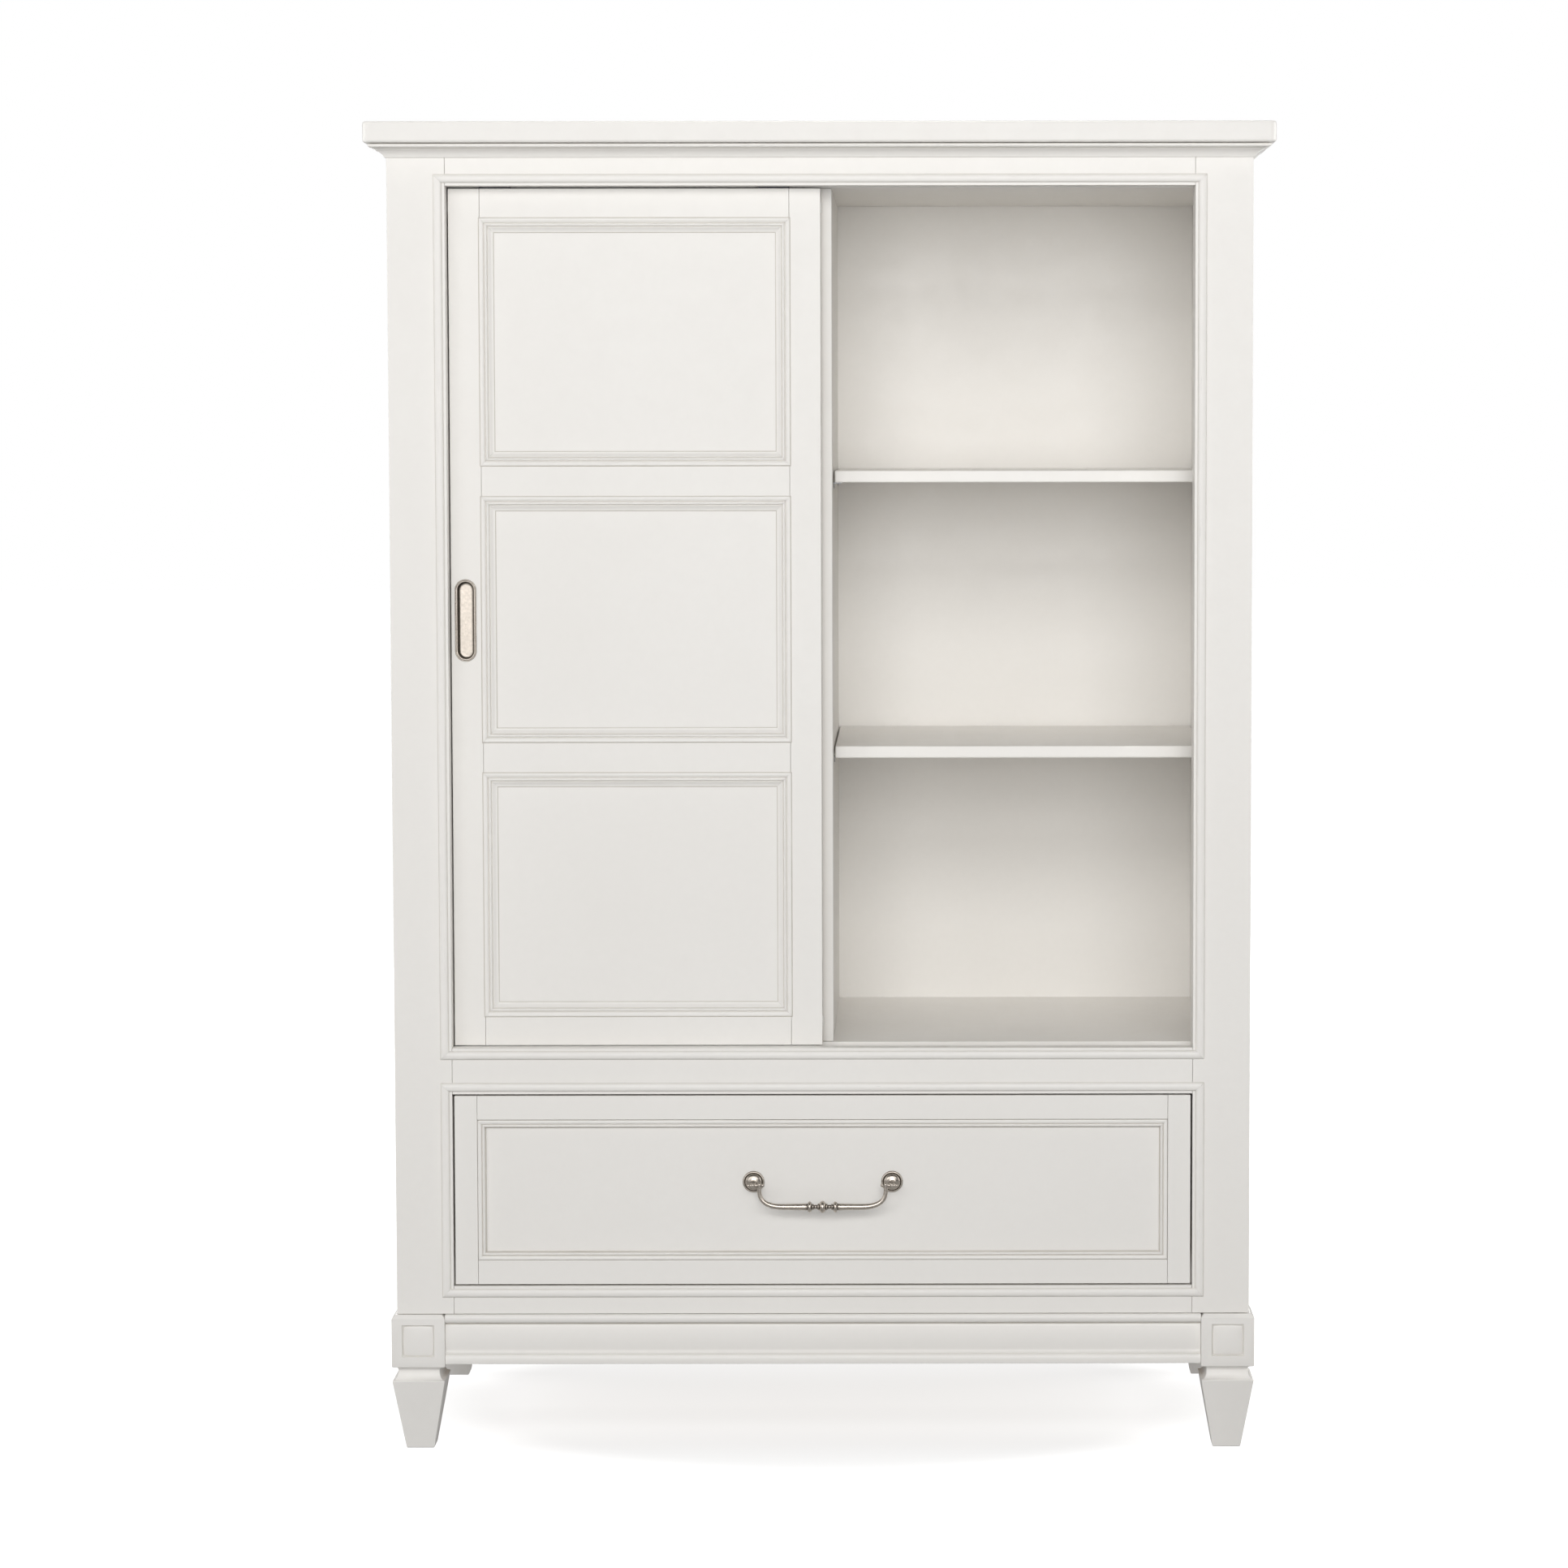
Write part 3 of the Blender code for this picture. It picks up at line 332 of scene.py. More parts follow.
def wood(name, light, dark, along=(1.0, 1.0, 1.0)):
    """Lacquered softwood: long streaky rings and short pores."""
    made = Finish(name, 0.42)
    stretched = made.stretched(along)
    wave = made.node("ShaderNodeTexWave", bands_direction="Z")
    wave.inputs["Scale"].default_value = 9.0
    wave.inputs["Distortion"].default_value = 5.0
    wave.inputs["Detail"].default_value = 3.0
    wave.inputs["Detail Scale"].default_value = 1.4
    made.link(stretched, wave.inputs["Vector"])
    rings = made.ramp(wave.outputs["Fac"], 0.1, 0.9)
    pores = made.ramp(made.noise(260.0, 3.0, 0.6, stretched), 0.55, 0.75)
    base = made.mix(rings, light, dark)
    base = made.mix(made.maths("MULTIPLY", pores, 0.35), base, tuple(0.6 * c for c in dark))
    made.colour(base)
    made.roughness(made.ramp(pores, 0.0, 1.0, 0.38, 0.55))
    made.bump((pores, 0.00008))
    return made.material


def brushed(name, colour, along, low, high):
    """Metal with a fine drawn or plated texture along one direction."""
    made = Finish(name, 0.35, 1.0)
    lines = made.noise(1.0, 4.0, 0.6, made.stretched(along))
    cloud = made.ramp(made.noise(30.0, 3.0), 0.3, 0.7)
    base = made.mix(lines, colour, tuple(0.82 * c for c in colour))
    base = made.mix(made.maths("MULTIPLY", cloud, 0.3), base, tuple(0.7 * c for c in colour))
    made.colour(base)
    made.roughness(made.ramp(lines, 0.3, 0.7, low, high))
    made.bump((lines, 0.00002))
    return made.material


def plastic(name, colour, rough):
    """Moulded plastic with a faint spark-eroded grain."""
    made = Finish(name, rough)
    grain = made.noise(1400.0, 2.0)
    cloud = made.ramp(made.noise(55.0, 2.0), 0.3, 0.7)
    made.colour(made.mix(cloud, colour, tuple(0.93 * c for c in colour)))
    made.roughness(made.ramp(grain, 0.3, 0.7, rough - 0.06, rough + 0.08))
    made.bump((grain, 0.00003))
    return made.material


def finishes():
    return {
        "paint_white": paint("paint_white", (0.845, 0.824, 0.789), (0.828, 0.805, 0.768)),
        # the inside paint is a lighter copy of the outside white, so the interior reads brighter: painted
        # light
        "paint_inside": paint("paint_inside", (0.906, 0.882, 0.842), (0.890, 0.864, 0.822), matt=-0.07),
        "drawer_wood": wood("drawer_wood", (0.66, 0.47, 0.29), (0.52, 0.34, 0.19), (1.0, 0.12, 1.0)),
        "antique_pewter": pewter("antique_pewter", (0.56, 0.505, 0.445), (0.075, 0.060, 0.046)),
        "track_aluminium": brushed("track_aluminium", (0.70, 0.70, 0.71), (3.0, 900.0, 900.0), 0.28, 0.40),
        "runner_zinc": brushed("runner_zinc", (0.42, 0.43, 0.45), (300.0, 6.0, 300.0), 0.26, 0.40),
        "hanger_steel": brushed("hanger_steel", (0.06, 0.06, 0.065), (300.0, 300.0, 6.0), 0.35, 0.5),
        "glide_nylon": plastic("glide_nylon", (0.82, 0.81, 0.77), 0.5),
    }


FINISH = finishes()


# ---------------------------------------------------------------- mesh tools
def body_of(node):
    return NODES[node]["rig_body"]


def new_mesh():
    bm = bmesh.new()
    bm.verts.layers.float.new("wear")
    bm.verts.layers.float.new("glaze_and_shade")
    bm.loops.layers.uv.new("run")
    return bm


def point(bm, place, wear=0.0, glaze_and_shade=0.0):
    """A vertex with its share of rubbed crest and of darkening: glaze and painted shade on the paint,
    patina on the pewter.
    """
    made = bm.verts.new(place)
    made[bm.verts.layers.float["wear"]] = wear
    made[bm.verts.layers.float["glaze_and_shade"]] = glaze_and_shade
    return made


def piece(name, bm, body, slot, replaced=(), sharp=32.0, bevel=0.0, segments=3):
    """Turns a bmesh in the row frame into a shaded piece that rides on a body."""
    bmesh.ops.recalc_face_normals(bm, faces=bm.faces)
    mesh = bpy.data.meshes.new(name)
    bm.to_mesh(mesh)
    bm.free()
    made = bpy.data.objects.new(name, mesh)
    bpy.context.scene.collection.objects.link(made)
    mesh.materials.append(FINISH[slot])
    mesh.shade_smooth()
    if bevel:
        eased = made.modifiers.new("eased", "BEVEL")
        eased.width = bevel
        eased.segments = segments
        eased.limit_method = "ANGLE"
        eased.harden_normals = True
    else:
        mesh.set_sharp_from_angle(angle=math.radians(sharp))
    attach(made, body)
    if replaced:
        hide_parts(*replaced)
    return made


def block(bm, low, high):
    low, high = Vector(low), Vector(high)
    place = Matrix.Translation((low + high) / 2) @ Matrix.Diagonal((*(high - low), 1.0))
    return bmesh.ops.create_cube(bm, size=1.0, matrix=place)["verts"]


def board(node, edge=0.0007, segments=3, painted_shadow=0.0):
    """A CAD board again, with finely rounded edges; the last argument darkens its front left edge as a
    painted shadow.
    """
    bm = new_mesh()
    block(bm, *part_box(node))
    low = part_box(node)[0]
    for vert in bm.verts:
        if vert.co.y < low.y + 0.001 and vert.co.x < low.x + 0.001:
            vert[bm.verts.layers.float["glaze_and_shade"]] = painted_shadow
    return piece(f"{node}_board", bm, body_of(node), SLOT_OF[node], (node,), bevel=edge, segments=segments)


def strip(bm, start, stop, masks, lengths):
    """One straight run between two equal rings of points, closed at both ends.

    masks holds (wear, darkening) for each point, the darkening being glaze and painted shade on the paint;
    lengths are the two ends' places along the run.
    """
    uv_layer = bm.loops.layers.uv["run"]
    rings = [[point(bm, place, *mask) for place, mask in zip(points, masks)] for points in (start, stop)]
    across = [0.0]
    for a, b in zip(start, start[1:] + start[:1]):
        across.append(across[-1] + (Vector(b) - Vector(a)).length)
    count = len(start)
    for i in range(count):
        j = (i + 1) % count
        face = bm.faces.new((rings[0][i], rings[0][j], rings[1][j], rings[1][i]))
        places = ((0, i), (0, i + 1), (1, i + 1), (1, i))
        for loop, (end, k) in zip(face.loops, places):
            loop[uv_layer].uv = (lengths[end], across[k])
    bm.faces.new(rings[0])
    bm.faces.new(list(reversed(rings[1])))


def split(profile):
    return [(p[0], p[1]) for p in profile], [(p[2], p[3]) for p in profile]


def mitred_frame(bm, low, high, face_y, profile, gap=0.00013):
    """Four runs of a moulding round a rectangle, with a hairline between their mitres.

    The profile is (inset, rise, wear, darkening) points, the darkening being glaze and painted shade; rise
    is towards -Y.
    """
    shape, masks = split(profile)
    for upright in (False, True):
        for far in (False, True):
            rings, lengths = [], []
            for end in (0, 1):
                ring = []
                for inset, rise in shape:
                    held = inset + gap
                    if upright:
                        x = high[0] - inset if far else low[0] + inset
                        z = high[1] - held if end else low[1] + held
                    else:
                        z = high[1] - inset if far else low[1] + inset
                        x = high[0] - held if end else low[0] + held
                    ring.append((x, face_y - rise, z))
                rings.append(ring)
                lengths.append((high if end else low)[1 if upright else 0])
            shift = 7.3 * (2 * upright + far) + 3.1 * low[1]
            strip(bm, rings[0], rings[1], masks, [value + shift for value in lengths])


def arc(centre, radius, start, stop, steps, wear):
    """Profile points of an arc, angles in degrees, with the same wear on each."""
    found = []
    for i in range(steps + 1):
        angle = math.radians(start + (stop - start) * i / steps)
        place = (centre[0] + radius * math.cos(angle), centre[1] + radius * math.sin(angle))
        found.append((*place, wear, 0.0))
    return found


def turned(bm, section, centre, axis, segments=48):
    """Turns (radius, height, glaze) points about an axis; a radius of 0 closes an end."""
    spin = Vector(axis).to_track_quat("Z", "Y").to_matrix()
    centre = Vector(centre)
    rings = []
    for radius, height, glaze_and_shade in section:
        count = segments if radius > 0 else 1
        ring = []
        for i in range(count):
            angle = math.tau * i / segments
            place = Vector((radius * math.cos(angle), radius * math.sin(angle), height))
            ring.append(point(bm, centre + spin @ place, glaze_and_shade=glaze_and_shade))
        rings.append(ring)
    for low, high in zip(rings, rings[1:]):
        for i in range(segments):
            j = (i + 1) % segments
            corners = [low[i % len(low)], low[j % len(low)], high[j % len(high)], high[i % len(high)]]
            kept = []
            for corner in corners:
                if corner not in kept:
                    kept.append(corner)
            bm.faces.new(kept)


def skin(bm, rings):
    """Joins equal rings of vertices one after another and closes both ends."""
    for lower, upper in zip(rings, rings[1:]):
        for i in range(len(lower)):
            j = (i + 1) % len(lower)
            bm.faces.new((lower[i], lower[j], upper[j], upper[i]))
    bm.faces.new(rings[0])
    bm.faces.new(rings[-1])


def boolean(target, cutter, operation):
    """Applies one exact Boolean and removes the cutter."""
    cut = target.modifiers.new("cut", "BOOLEAN")
    cut.operation = operation
    cut.solver = "EXACT"
    cut.object = cutter
    bpy.context.view_layer.update()
    graph = bpy.context.evaluated_depsgraph_get()
    mesh = bpy.data.meshes.new_from_object(target.evaluated_get(graph))
    target.modifiers.clear()
    target.data = mesh
    bpy.data.objects.remove(cutter, do_unlink=True)


def loose(name, bm):
    """A helper object for a Boolean, which isn't a piece."""
    bmesh.ops.recalc_face_normals(bm, faces=bm.faces)
    mesh = bpy.data.meshes.new(name)
    bm.to_mesh(mesh)
    bm.free()
    made = bpy.data.objects.new(name, mesh)
    bpy.context.scene.collection.objects.link(made)
    return made


# ---------------------------------------------------------------- case
def top_panel():
    low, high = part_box("top_panel")
    bm = new_mesh()
    block(bm, low, high)
    upright = [
        e for e in bm.edges if abs(e.verts[0].co.z - e.verts[1].co.z) > 0.01 and e.verts[0].co.y < 0
    ]
    bmesh.ops.bevel(bm, geom=upright, offset=0.009, segments=10, affect="EDGES", profile=0.5)
    piece("top_panel_board", bm, "case", "paint_white", ("top_panel",), bevel=0.0034, segments=6)


def crown():
    """Bead, deep quirk and cove, mitred at the two front corners."""
    low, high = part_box("crown_moulding")
    top, reach = high.z, 0.0215
    half, front, back = high.x - reach, low.y + reach, high.y
    # the last value darkens the quirks under the slab, round the bead and at the foot: partly glaze, partly
    # painted shade
    profile = [(0.0, top, 0, 0), (0.0180, top, 0, 0.9), (0.0190, top - 0.0004, 0, 0.6)]
    profile += arc((0.0188, top - 0.0027), 0.0023, 80, -75, 8, wear=0.9)
    profile += [(0.0165, top - 0.0056, 0, 0.4), (0.0136, top - 0.0062, 0, 0.7)]
    profile += [(0.0132, top - 0.0068, 0, 0.3)]
    first, last, sag = Vector((0.0130, top - 0.0070)), Vector((0.0022, top - 0.0170)), 0.0016
    away = Vector((first.y - last.y, last.x - first.x)).normalized()
    for i in range(13):
        share = i / 12
        x, z = first.lerp(last, share) - away * sag * 4 * share * (1 - share)
        profile.append((x, z, 0, 0))
    profile += [(0.0014, top - 0.0172, 0, 0.6), (0.0, top - 0.0172, 0, 0)]
    shape, masks = split(profile)
    bm = new_mesh()
    gap = 0.0001
    left_back = [(-half - o, back, z) for o, z in shape]
    left_front = [(-half - o, front - o + gap, z) for o, z in shape]
    middle_left = [(-half - o + gap, front - o, z) for o, z in shape]
    middle_right = [(half + o - gap, front - o, z) for o, z in shape]
    right_front = [(half + o, front - o + gap, z) for o, z in shape]
    right_back = [(half + o, back, z) for o, z in shape]
    runs = ((left_back, left_front), (middle_left, middle_right), (right_front, right_back))
    for shift, (start, stop) in enumerate(runs):
        run = abs(stop[0][0] - start[0][0]) + abs(stop[0][1] - start[0][1])
        strip(bm, start, stop, masks, (3.7 * shift, 3.7 * shift + run))
    piece("crown_mitred", bm, "case", "paint_white", ("crown_moulding",))


def middle_rail():
    """The rail's front lip and the ledge behind it, with the door's groove between."""
    low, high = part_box("middle_rail")
    lip_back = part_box("top_rail")[1].y
    groove = high.z - 0.025
    outline = [(low.y, low.z), (high.y, low.z), (high.y, groove), (lip_back, groove)]
    outline += [(lip_back, high.z), (low.y, high.z)]
    bm = new_mesh()
    rings = [[(x, y, z) for y, z in outline] for x in (low.x, high.x)]
    strip(bm, rings[0], rings[1], [(0, 0)] * len(outline), (low.x, high.x))
    piece("middle_rail_board", bm, "case", "paint_white", ("middle_rail",), bevel=0.0007)


def opening_bead(node):
    """Half-round bead on a thin fillet."""
    low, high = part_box(node)
    face_y, rise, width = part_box("stile_left")[0].y, 0.0040, 0.0114
    # the last value darkens both feet of the bead where it meets the frame: partly glaze, partly painted
    # shade
    profile = [(0.0, 0.0003, 0, 1.0), (0.0001, 0.0006, 0, 0.9), (0.0007, 0.0010, 0, 0.25)]
    for i in range(1, 14):
        angle = math.pi * i / 14
        across = width / 2 - (width / 2 - 0.0008) * math.cos(angle)
        crest = max(0.0, math.sin(angle) - 0.45) / 0.55
        profile.append((across, 0.0010 + (rise - 0.0010) * math.sin(angle) ** 0.85, crest, 0))
    profile += [(width - 0.0007, 0.0010, 0, 0.25), (width - 0.0001, 0.0006, 0, 0.9)]
    profile += [(width, 0.0003, 0, 1.0)]
    bm = new_mesh()
    mitred_frame(bm, (low.x, low.z), (high.x, high.z), face_y, profile)
    piece(f"{node}_mitred", bm, "case", "paint_white", (node,))


def case_boards():
    for node in ("stile_left", "stile_right", "top_rail", "bottom_rail", "bay_floor", "sub_top"):
        board(node)
    board("back_panel", edge=0.0004)
    # the divider's front darkens from its left edge as a painted shadow of the door
    board("centre_divider", edge=0.0015, segments=4, painted_shadow=1.0)
    for node in ("shelf_lower_left", "shelf_lower_right", "shelf_upper_left", "shelf_upper_right"):
        board(node, edge=0.0020, segments=4)


# ---------------------------------------------------------------- base
def apron_profile(low_z, top):
    """(out, z, wear, darkening) from the top edge down: bead, quirk, swelling field, fillet and band; the
    darkening in the quirks is partly glaze, partly painted shade.
    """
    points = [(-0.020, top, 0, 0), (0.0, top, 0, 0)]
    points += [(0.0024, top - 0.0002, 0, 0), (0.0038, top - 0.0010, 0.3, 0)]
    points += [(0.0046, top - 0.0024, 0.5, 0), (0.0050, top - 0.0042, 0.5, 0)]
    points += [(0.0050, top - 0.0060, 0.3, 0)]
    points += [(0.0045, top - 0.0080, 0, 0), (0.0035, top - 0.0096, 0, 0), (0.0019, top - 0.0108, 0, 0.3)]
    points += [(0.0004, top - 0.0114, 0, 0.8), (-0.0028, top - 0.0117, 0, 1.0)]
    points += [(-0.0028, top - 0.0130, 0, 0.8)]
    points += [(-0.0016, top - 0.0138, 0, 0.1)]
    start, stop, swell = top - 0.0143, low_z + 0.0172, 0.0017
    for i in range(15):
        share = i / 14
        bulge = 4 * swell * share * (1 - share) ** 0.8
        points.append((-0.0012 + bulge, start + (stop - start) * share, 0, 0))
    points += [(-0.0009, low_z + 0.0160, 0, 0), (-0.0004, low_z + 0.0150, 0, 0)]
    points += [(0.0006, low_z + 0.0141, 0.3, 0)]
    points += [(0.0018, low_z + 0.0135, 0.3, 0), (0.0022, low_z + 0.0131, 0, 0.5)]
    points += [(0.0022, low_z + 0.0124, 0, 0.4)]
    points += [(0.0030, low_z + 0.0118, 0.3, 0), (0.0039, low_z + 0.0104, 0.5, 0)]
    points += [(0.0045, low_z + 0.0086, 0.3, 0)]
    points += [(0.0048, low_z + 0.0068, 0, 0), (0.0048, low_z + 0.0012, 0, 0)]
    points += [(0.0044, low_z + 0.0003, 0, 0)]
    points += [(0.0036, low_z, 0, 0), (-0.020, low_z, 0, 0)]
    return points


def aprons():
    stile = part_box("stile_right")
    for node in ("apron_front", "apron_left", "apron_right"):
        low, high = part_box(node)
        shape, masks = split(apron_profile(low.z, high.z))
        if node == "apron_front":
            rings = [[(x, stile[0].y - out, z) for out, z in shape] for x in (low.x, high.x)]
            lengths = (low.x, high.x)
        else:
            side = -1 if node == "apron_left" else 1
            rings = [[(side * (stile[1].x + out), y, z) for out, z in shape] for y in (low.y, high.y)]
            lengths = (low.y + 5 * side, high.y + 5 * side)
        bm = new_mesh()
        strip(bm, rings[0], rings[1], masks, lengths)
        piece(f"{node}_moulded", bm, "case", "paint_white", (node,))


def leg_profile(half, top):
    """(half width, z) from the floor up: taper, lip, scotia and block."""
    block_low, lip_z, tip = top - 0.0692, 0.0918, 0.0186
    points = [(tip - 0.0030, 0.0), (tip - 0.0012, 0.0004), (tip - 0.0003, 0.0014), (tip, 0.0030)]
    lip = half - 0.0004
    points += [(lip - 0.0004, lip_z - 0.0016), (lip, lip_z)]
    points += [(lip - 0.0003, lip_z + 0.0008), (lip - 0.0012, lip_z + 0.0011)]
    neck, start, throat = half - 0.0078, lip_z + 0.0011, block_low - 0.0050
    for i in range(1, 11):
        angle = math.radians(90 * i / 10)
        inset = (lip - 0.0012 - neck) * math.sin(angle) ** 0.9
        points.append((lip - 0.0012 - inset, start + (throat - start) * (1 - math.cos(angle)) ** 0.9))
    for i in range(1, 6):
        angle = math.radians(90 * i / 5)
        points.append((neck + 0.0034 * (1 - math.cos(angle)), throat + 0.0042 * math.sin(angle)))
    points += [(neck + 0.0036, block_low), (half - 0.0012, block_low), (half - 0.0004, block_low + 0.0004)]
    points += [(half, block_low + 0.0014), (half, top - 0.0048)]
    points += [(half - 0.0006, top - 0.0038), (half - 0.0040, top)]
    return points


RECESS_HALF = 0.0212
RECESS_DROP = 0.0342  # from the top of the block to the middle of the recess
RECESS_LINES = (0.0, 0.0004, 0.0010, 0.0017, 0.0024, 0.0036, 0.0054, 0.0080, 0.0115, 0.0155)


def sunk_field(bm, face, centre, half):
    """Cuts a square recess with bowed edges and a pillowed field into a flat face."""
    corners = list(face.verts)
    normal = face.normal.copy()
    across = (corners[1].co - corners[0].co).normalized()
    up = normal.cross(across)
    near = [-half + line for line in RECESS_LINES]
    lines = near + [0.0] + [-line for line in reversed(near)]
    last = len(lines) - 1
    grid = {}
    for i, a in enumerate(lines):
        for j, b in enumerate(lines):
            grid[i, j] = field_point(bm, centre, across, up, normal, (a, b), half)
    bm.faces.remove(face)
    for i in range(last):
        for j in range(last):
            bm.faces.new((grid[i, j], grid[i + 1, j], grid[i + 1, j + 1], grid[i, j + 1]))
    walks = (
        [(i, 0) for i in range(last + 1)],
        [(last, j) for j in range(last + 1)],
        [(last - i, last) for i in range(last + 1)],
        [(0, last - j) for j in range(last + 1)],
    )
    for k, walk in enumerate(walks):
        bm.faces.new([corners[k], corners[(k + 1) % 4]] + [grid[key] for key in reversed(walk)])


def field_point(bm, centre, across, up, normal, place, half):
    """A vertex of the recess: arris, wall, quirk or swelling field."""
    a, b = place
    edge = half - max(abs(a), abs(b))
    fade = max(0.0, 1.0 - edge / 0.012) if edge > 0.0005 else 0.0
    a_bowed = a * (1 - 0.075 * fade * (b / half) ** 2)
    b_bowed = b * (1 - 0.075 * fade * (a / half) ** 2)
    if edge < 0.0001:
        depth = 0.0
    elif edge < 0.0005:
        depth = 0.0012
    elif edge < 0.0020:
        depth = 0.0022
    else:
        reach = 1.0 - 0.0020 / half
        swell = max(0.0, 1 - abs(a / half / reach) ** 2.4) * max(0.0, 1 - abs(b / half / reach) ** 2.4)
        depth = 0.0021 - 0.0019 * swell ** 0.6
    # the wall and quirk of the recess are darkened: partly glaze, partly painted shade
    glaze_and_shade = 0.55 if 0.0003 < edge < 0.0020 else 0.0
    return point(bm, centre + across * a_bowed + up * b_bowed - normal * depth, glaze_and_shade=glaze_and_shade)


def leg(node, faces):
    """A square leg whose named faces hold a sunk square with a pillowed field."""
    low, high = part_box(node)
    centre = Vector(((low.x + high.x) / 2, (low.y + high.y) / 2, 0.0))
    half = (high.x - low.x) / 2
    bm = new_mesh()
    rings = []
    for reach, z in leg_profile(half, high.z):
        corners = ((-reach, -reach), (reach, -reach), (reach, reach), (-reach, reach))
        rings.append([point(bm, centre + Vector((x, y, z))) for x, y in corners])
    skin(bm, rings)
    bmesh.ops.recalc_face_normals(bm, faces=bm.faces)
    corners = [
        e for e in bm.edges if abs(e.verts[0].co.z - e.verts[1].co.z) > 1e-6 and is_corner(e, centre)
    ]
    middle = (rings[-3][0].co.z + rings[-4][0].co.z) / 2
    targets = []
    for direction in faces:
        way = Vector((*direction, 0.0))
        sides = [f for f in bm.faces if f.normal.dot(way) > 0.999]
        targets.append(min(sides, key=lambda f: abs(f.calc_center_median().z - middle)))
    for face in targets:
        middle = face.calc_center_median()
        middle.z = high.z - RECESS_DROP
        sunk_field(bm, face, middle, RECESS_HALF)
    bmesh.ops.bevel(bm, geom=corners, offset=0.0008, segments=2, affect="EDGES", profile=0.5)
    piece(f"{node}_turned", bm, "case", "paint_white", (node,), sharp=28.0)


def is_corner(edge, centre):
    """True for an edge that climbs one of the leg's four corners."""
    offsets = [v.co - centre for v in edge.verts]
    return all(abs(abs(o.x) - abs(o.y)) < 1e-5 for o in offsets)


def legs():
    for name, side in SIDES:
        leg(f"leg_front_{name}", ((0, -1), (side, 0)))
        leg(f"leg_rear_{name}", ((side, 0),))


# ---------------------------------------------------------------- door
def door_profile():
    """Rounded band, quirk, bead, quirk, then a hollow down to the panel; the darkening at the quirks and at
    both feet is partly glaze, partly painted shade.
    """
    points = [(0.0, 0.0002, 0, 1.0), (0.0004, 0.0003, 0, 1.0)]
    points += [(0.0009, 0.0010, 0, 0.9), (0.0014, 0.0017, 0, 0.15)]
    points += [(0.0024, 0.0020, 0.8, 0), (0.0036, 0.0019, 1.0, 0), (0.0049, 0.0015, 0.4, 0)]
    points += [(0.0062, 0.0008, 0, 0), (0.0067, 0.0003, 0, 0.2), (0.0073, -0.0008, 0, 0.5)]
    points += [(0.0078, -0.0003, 0, 0.1)]
    points += arc((0.0095, -0.0003), 0.0014, 165, 15, 7, wear=1.0)
    points += [(0.0113, -0.0004, 0, 0.3), (0.0119, -0.0016, 0, 0.7), (0.0125, -0.0011, 0, 0.1)]
    for i in range(9):
        share = i / 8
        fall = 0.0032 * math.sin(share * math.pi / 2) ** 1.1
        points.append((0.0128 + 0.0060 * share, -0.0011 - fall, 0, 0))
    points += [(0.0190, -0.0044, 0, 0.9), (0.0194, -0.0050, 0, 1.0), (0.0200, -0.0052, 0, 1.0)]
    points += [(0.0020, -0.0052, 0, 0), (0.0020, 0.0002, 0, 0)]
    return points


def door():
    for name in ("top", "upper", "lower", "bottom"):
        board(f"door_rail_{name}", edge=0.0006)
    board("door_stile_right", edge=0.0007)
    left_stile()
    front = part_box("door_stile_left")[0].y
    for name in LEVELS:
        board(f"door_panel_{name}", edge=0.0003)
        low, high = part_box(f"door_moulding_{name}")
        bm = new_mesh()
        mitred_frame(bm, (low.x, low.z), (high.x, high.z), front, door_profile())
        piece(f"door_moulding_{name}_mitred", bm, "door", "paint_white", (f"door_moulding_{name}",))
    flush_pull(front)
    bumpers()


def stadium(centre, radius, straight, y, steps=20):
    points = []
    for start, shift in ((0, straight), (180, -straight)):
        for i in range(steps + 1):
            angle = math.radians(start + 180 * i / steps)
            x = centre[0] + radius * math.cos(angle)
            points.append((x, y, centre[1] + shift + radius * math.sin(angle)))
    return points


def stadium_loft(bm, centre, straight, front, section):
    """Rings of (radius, rise, glaze) round the pull's slot shape."""
    rings = []
    for radius, rise, glaze_and_shade in section:
        places = stadium(centre, radius, straight, front - rise)
        rings.append([point(bm, place, glaze_and_shade=glaze_and_shade) for place in places])
    skin(bm, rings)


def pull_place():
    low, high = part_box("flush_pull")
    straight = ((high.z - low.z) - (high.x - low.x)) / 2
    return ((low.x + high.x) / 2, (low.z + high.z) / 2), (high.x - low.x) / 2, straight


def left_stile():
    """The stile with the pull's pocket cut into it."""
    centre, radius, straight = pull_place()
    made = board("door_stile_left", edge=0.0007)
    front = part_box("door_stile_left")[0].y
    bm = new_mesh()
    pocket = radius - 0.0042 + 0.0013
    stadium_loft(bm, centre, straight, front, [(pocket, 0.01, 0), (pocket, -0.0126, 0)])
    boolean(made, loose("pull_pocket", bm), "DIFFERENCE")


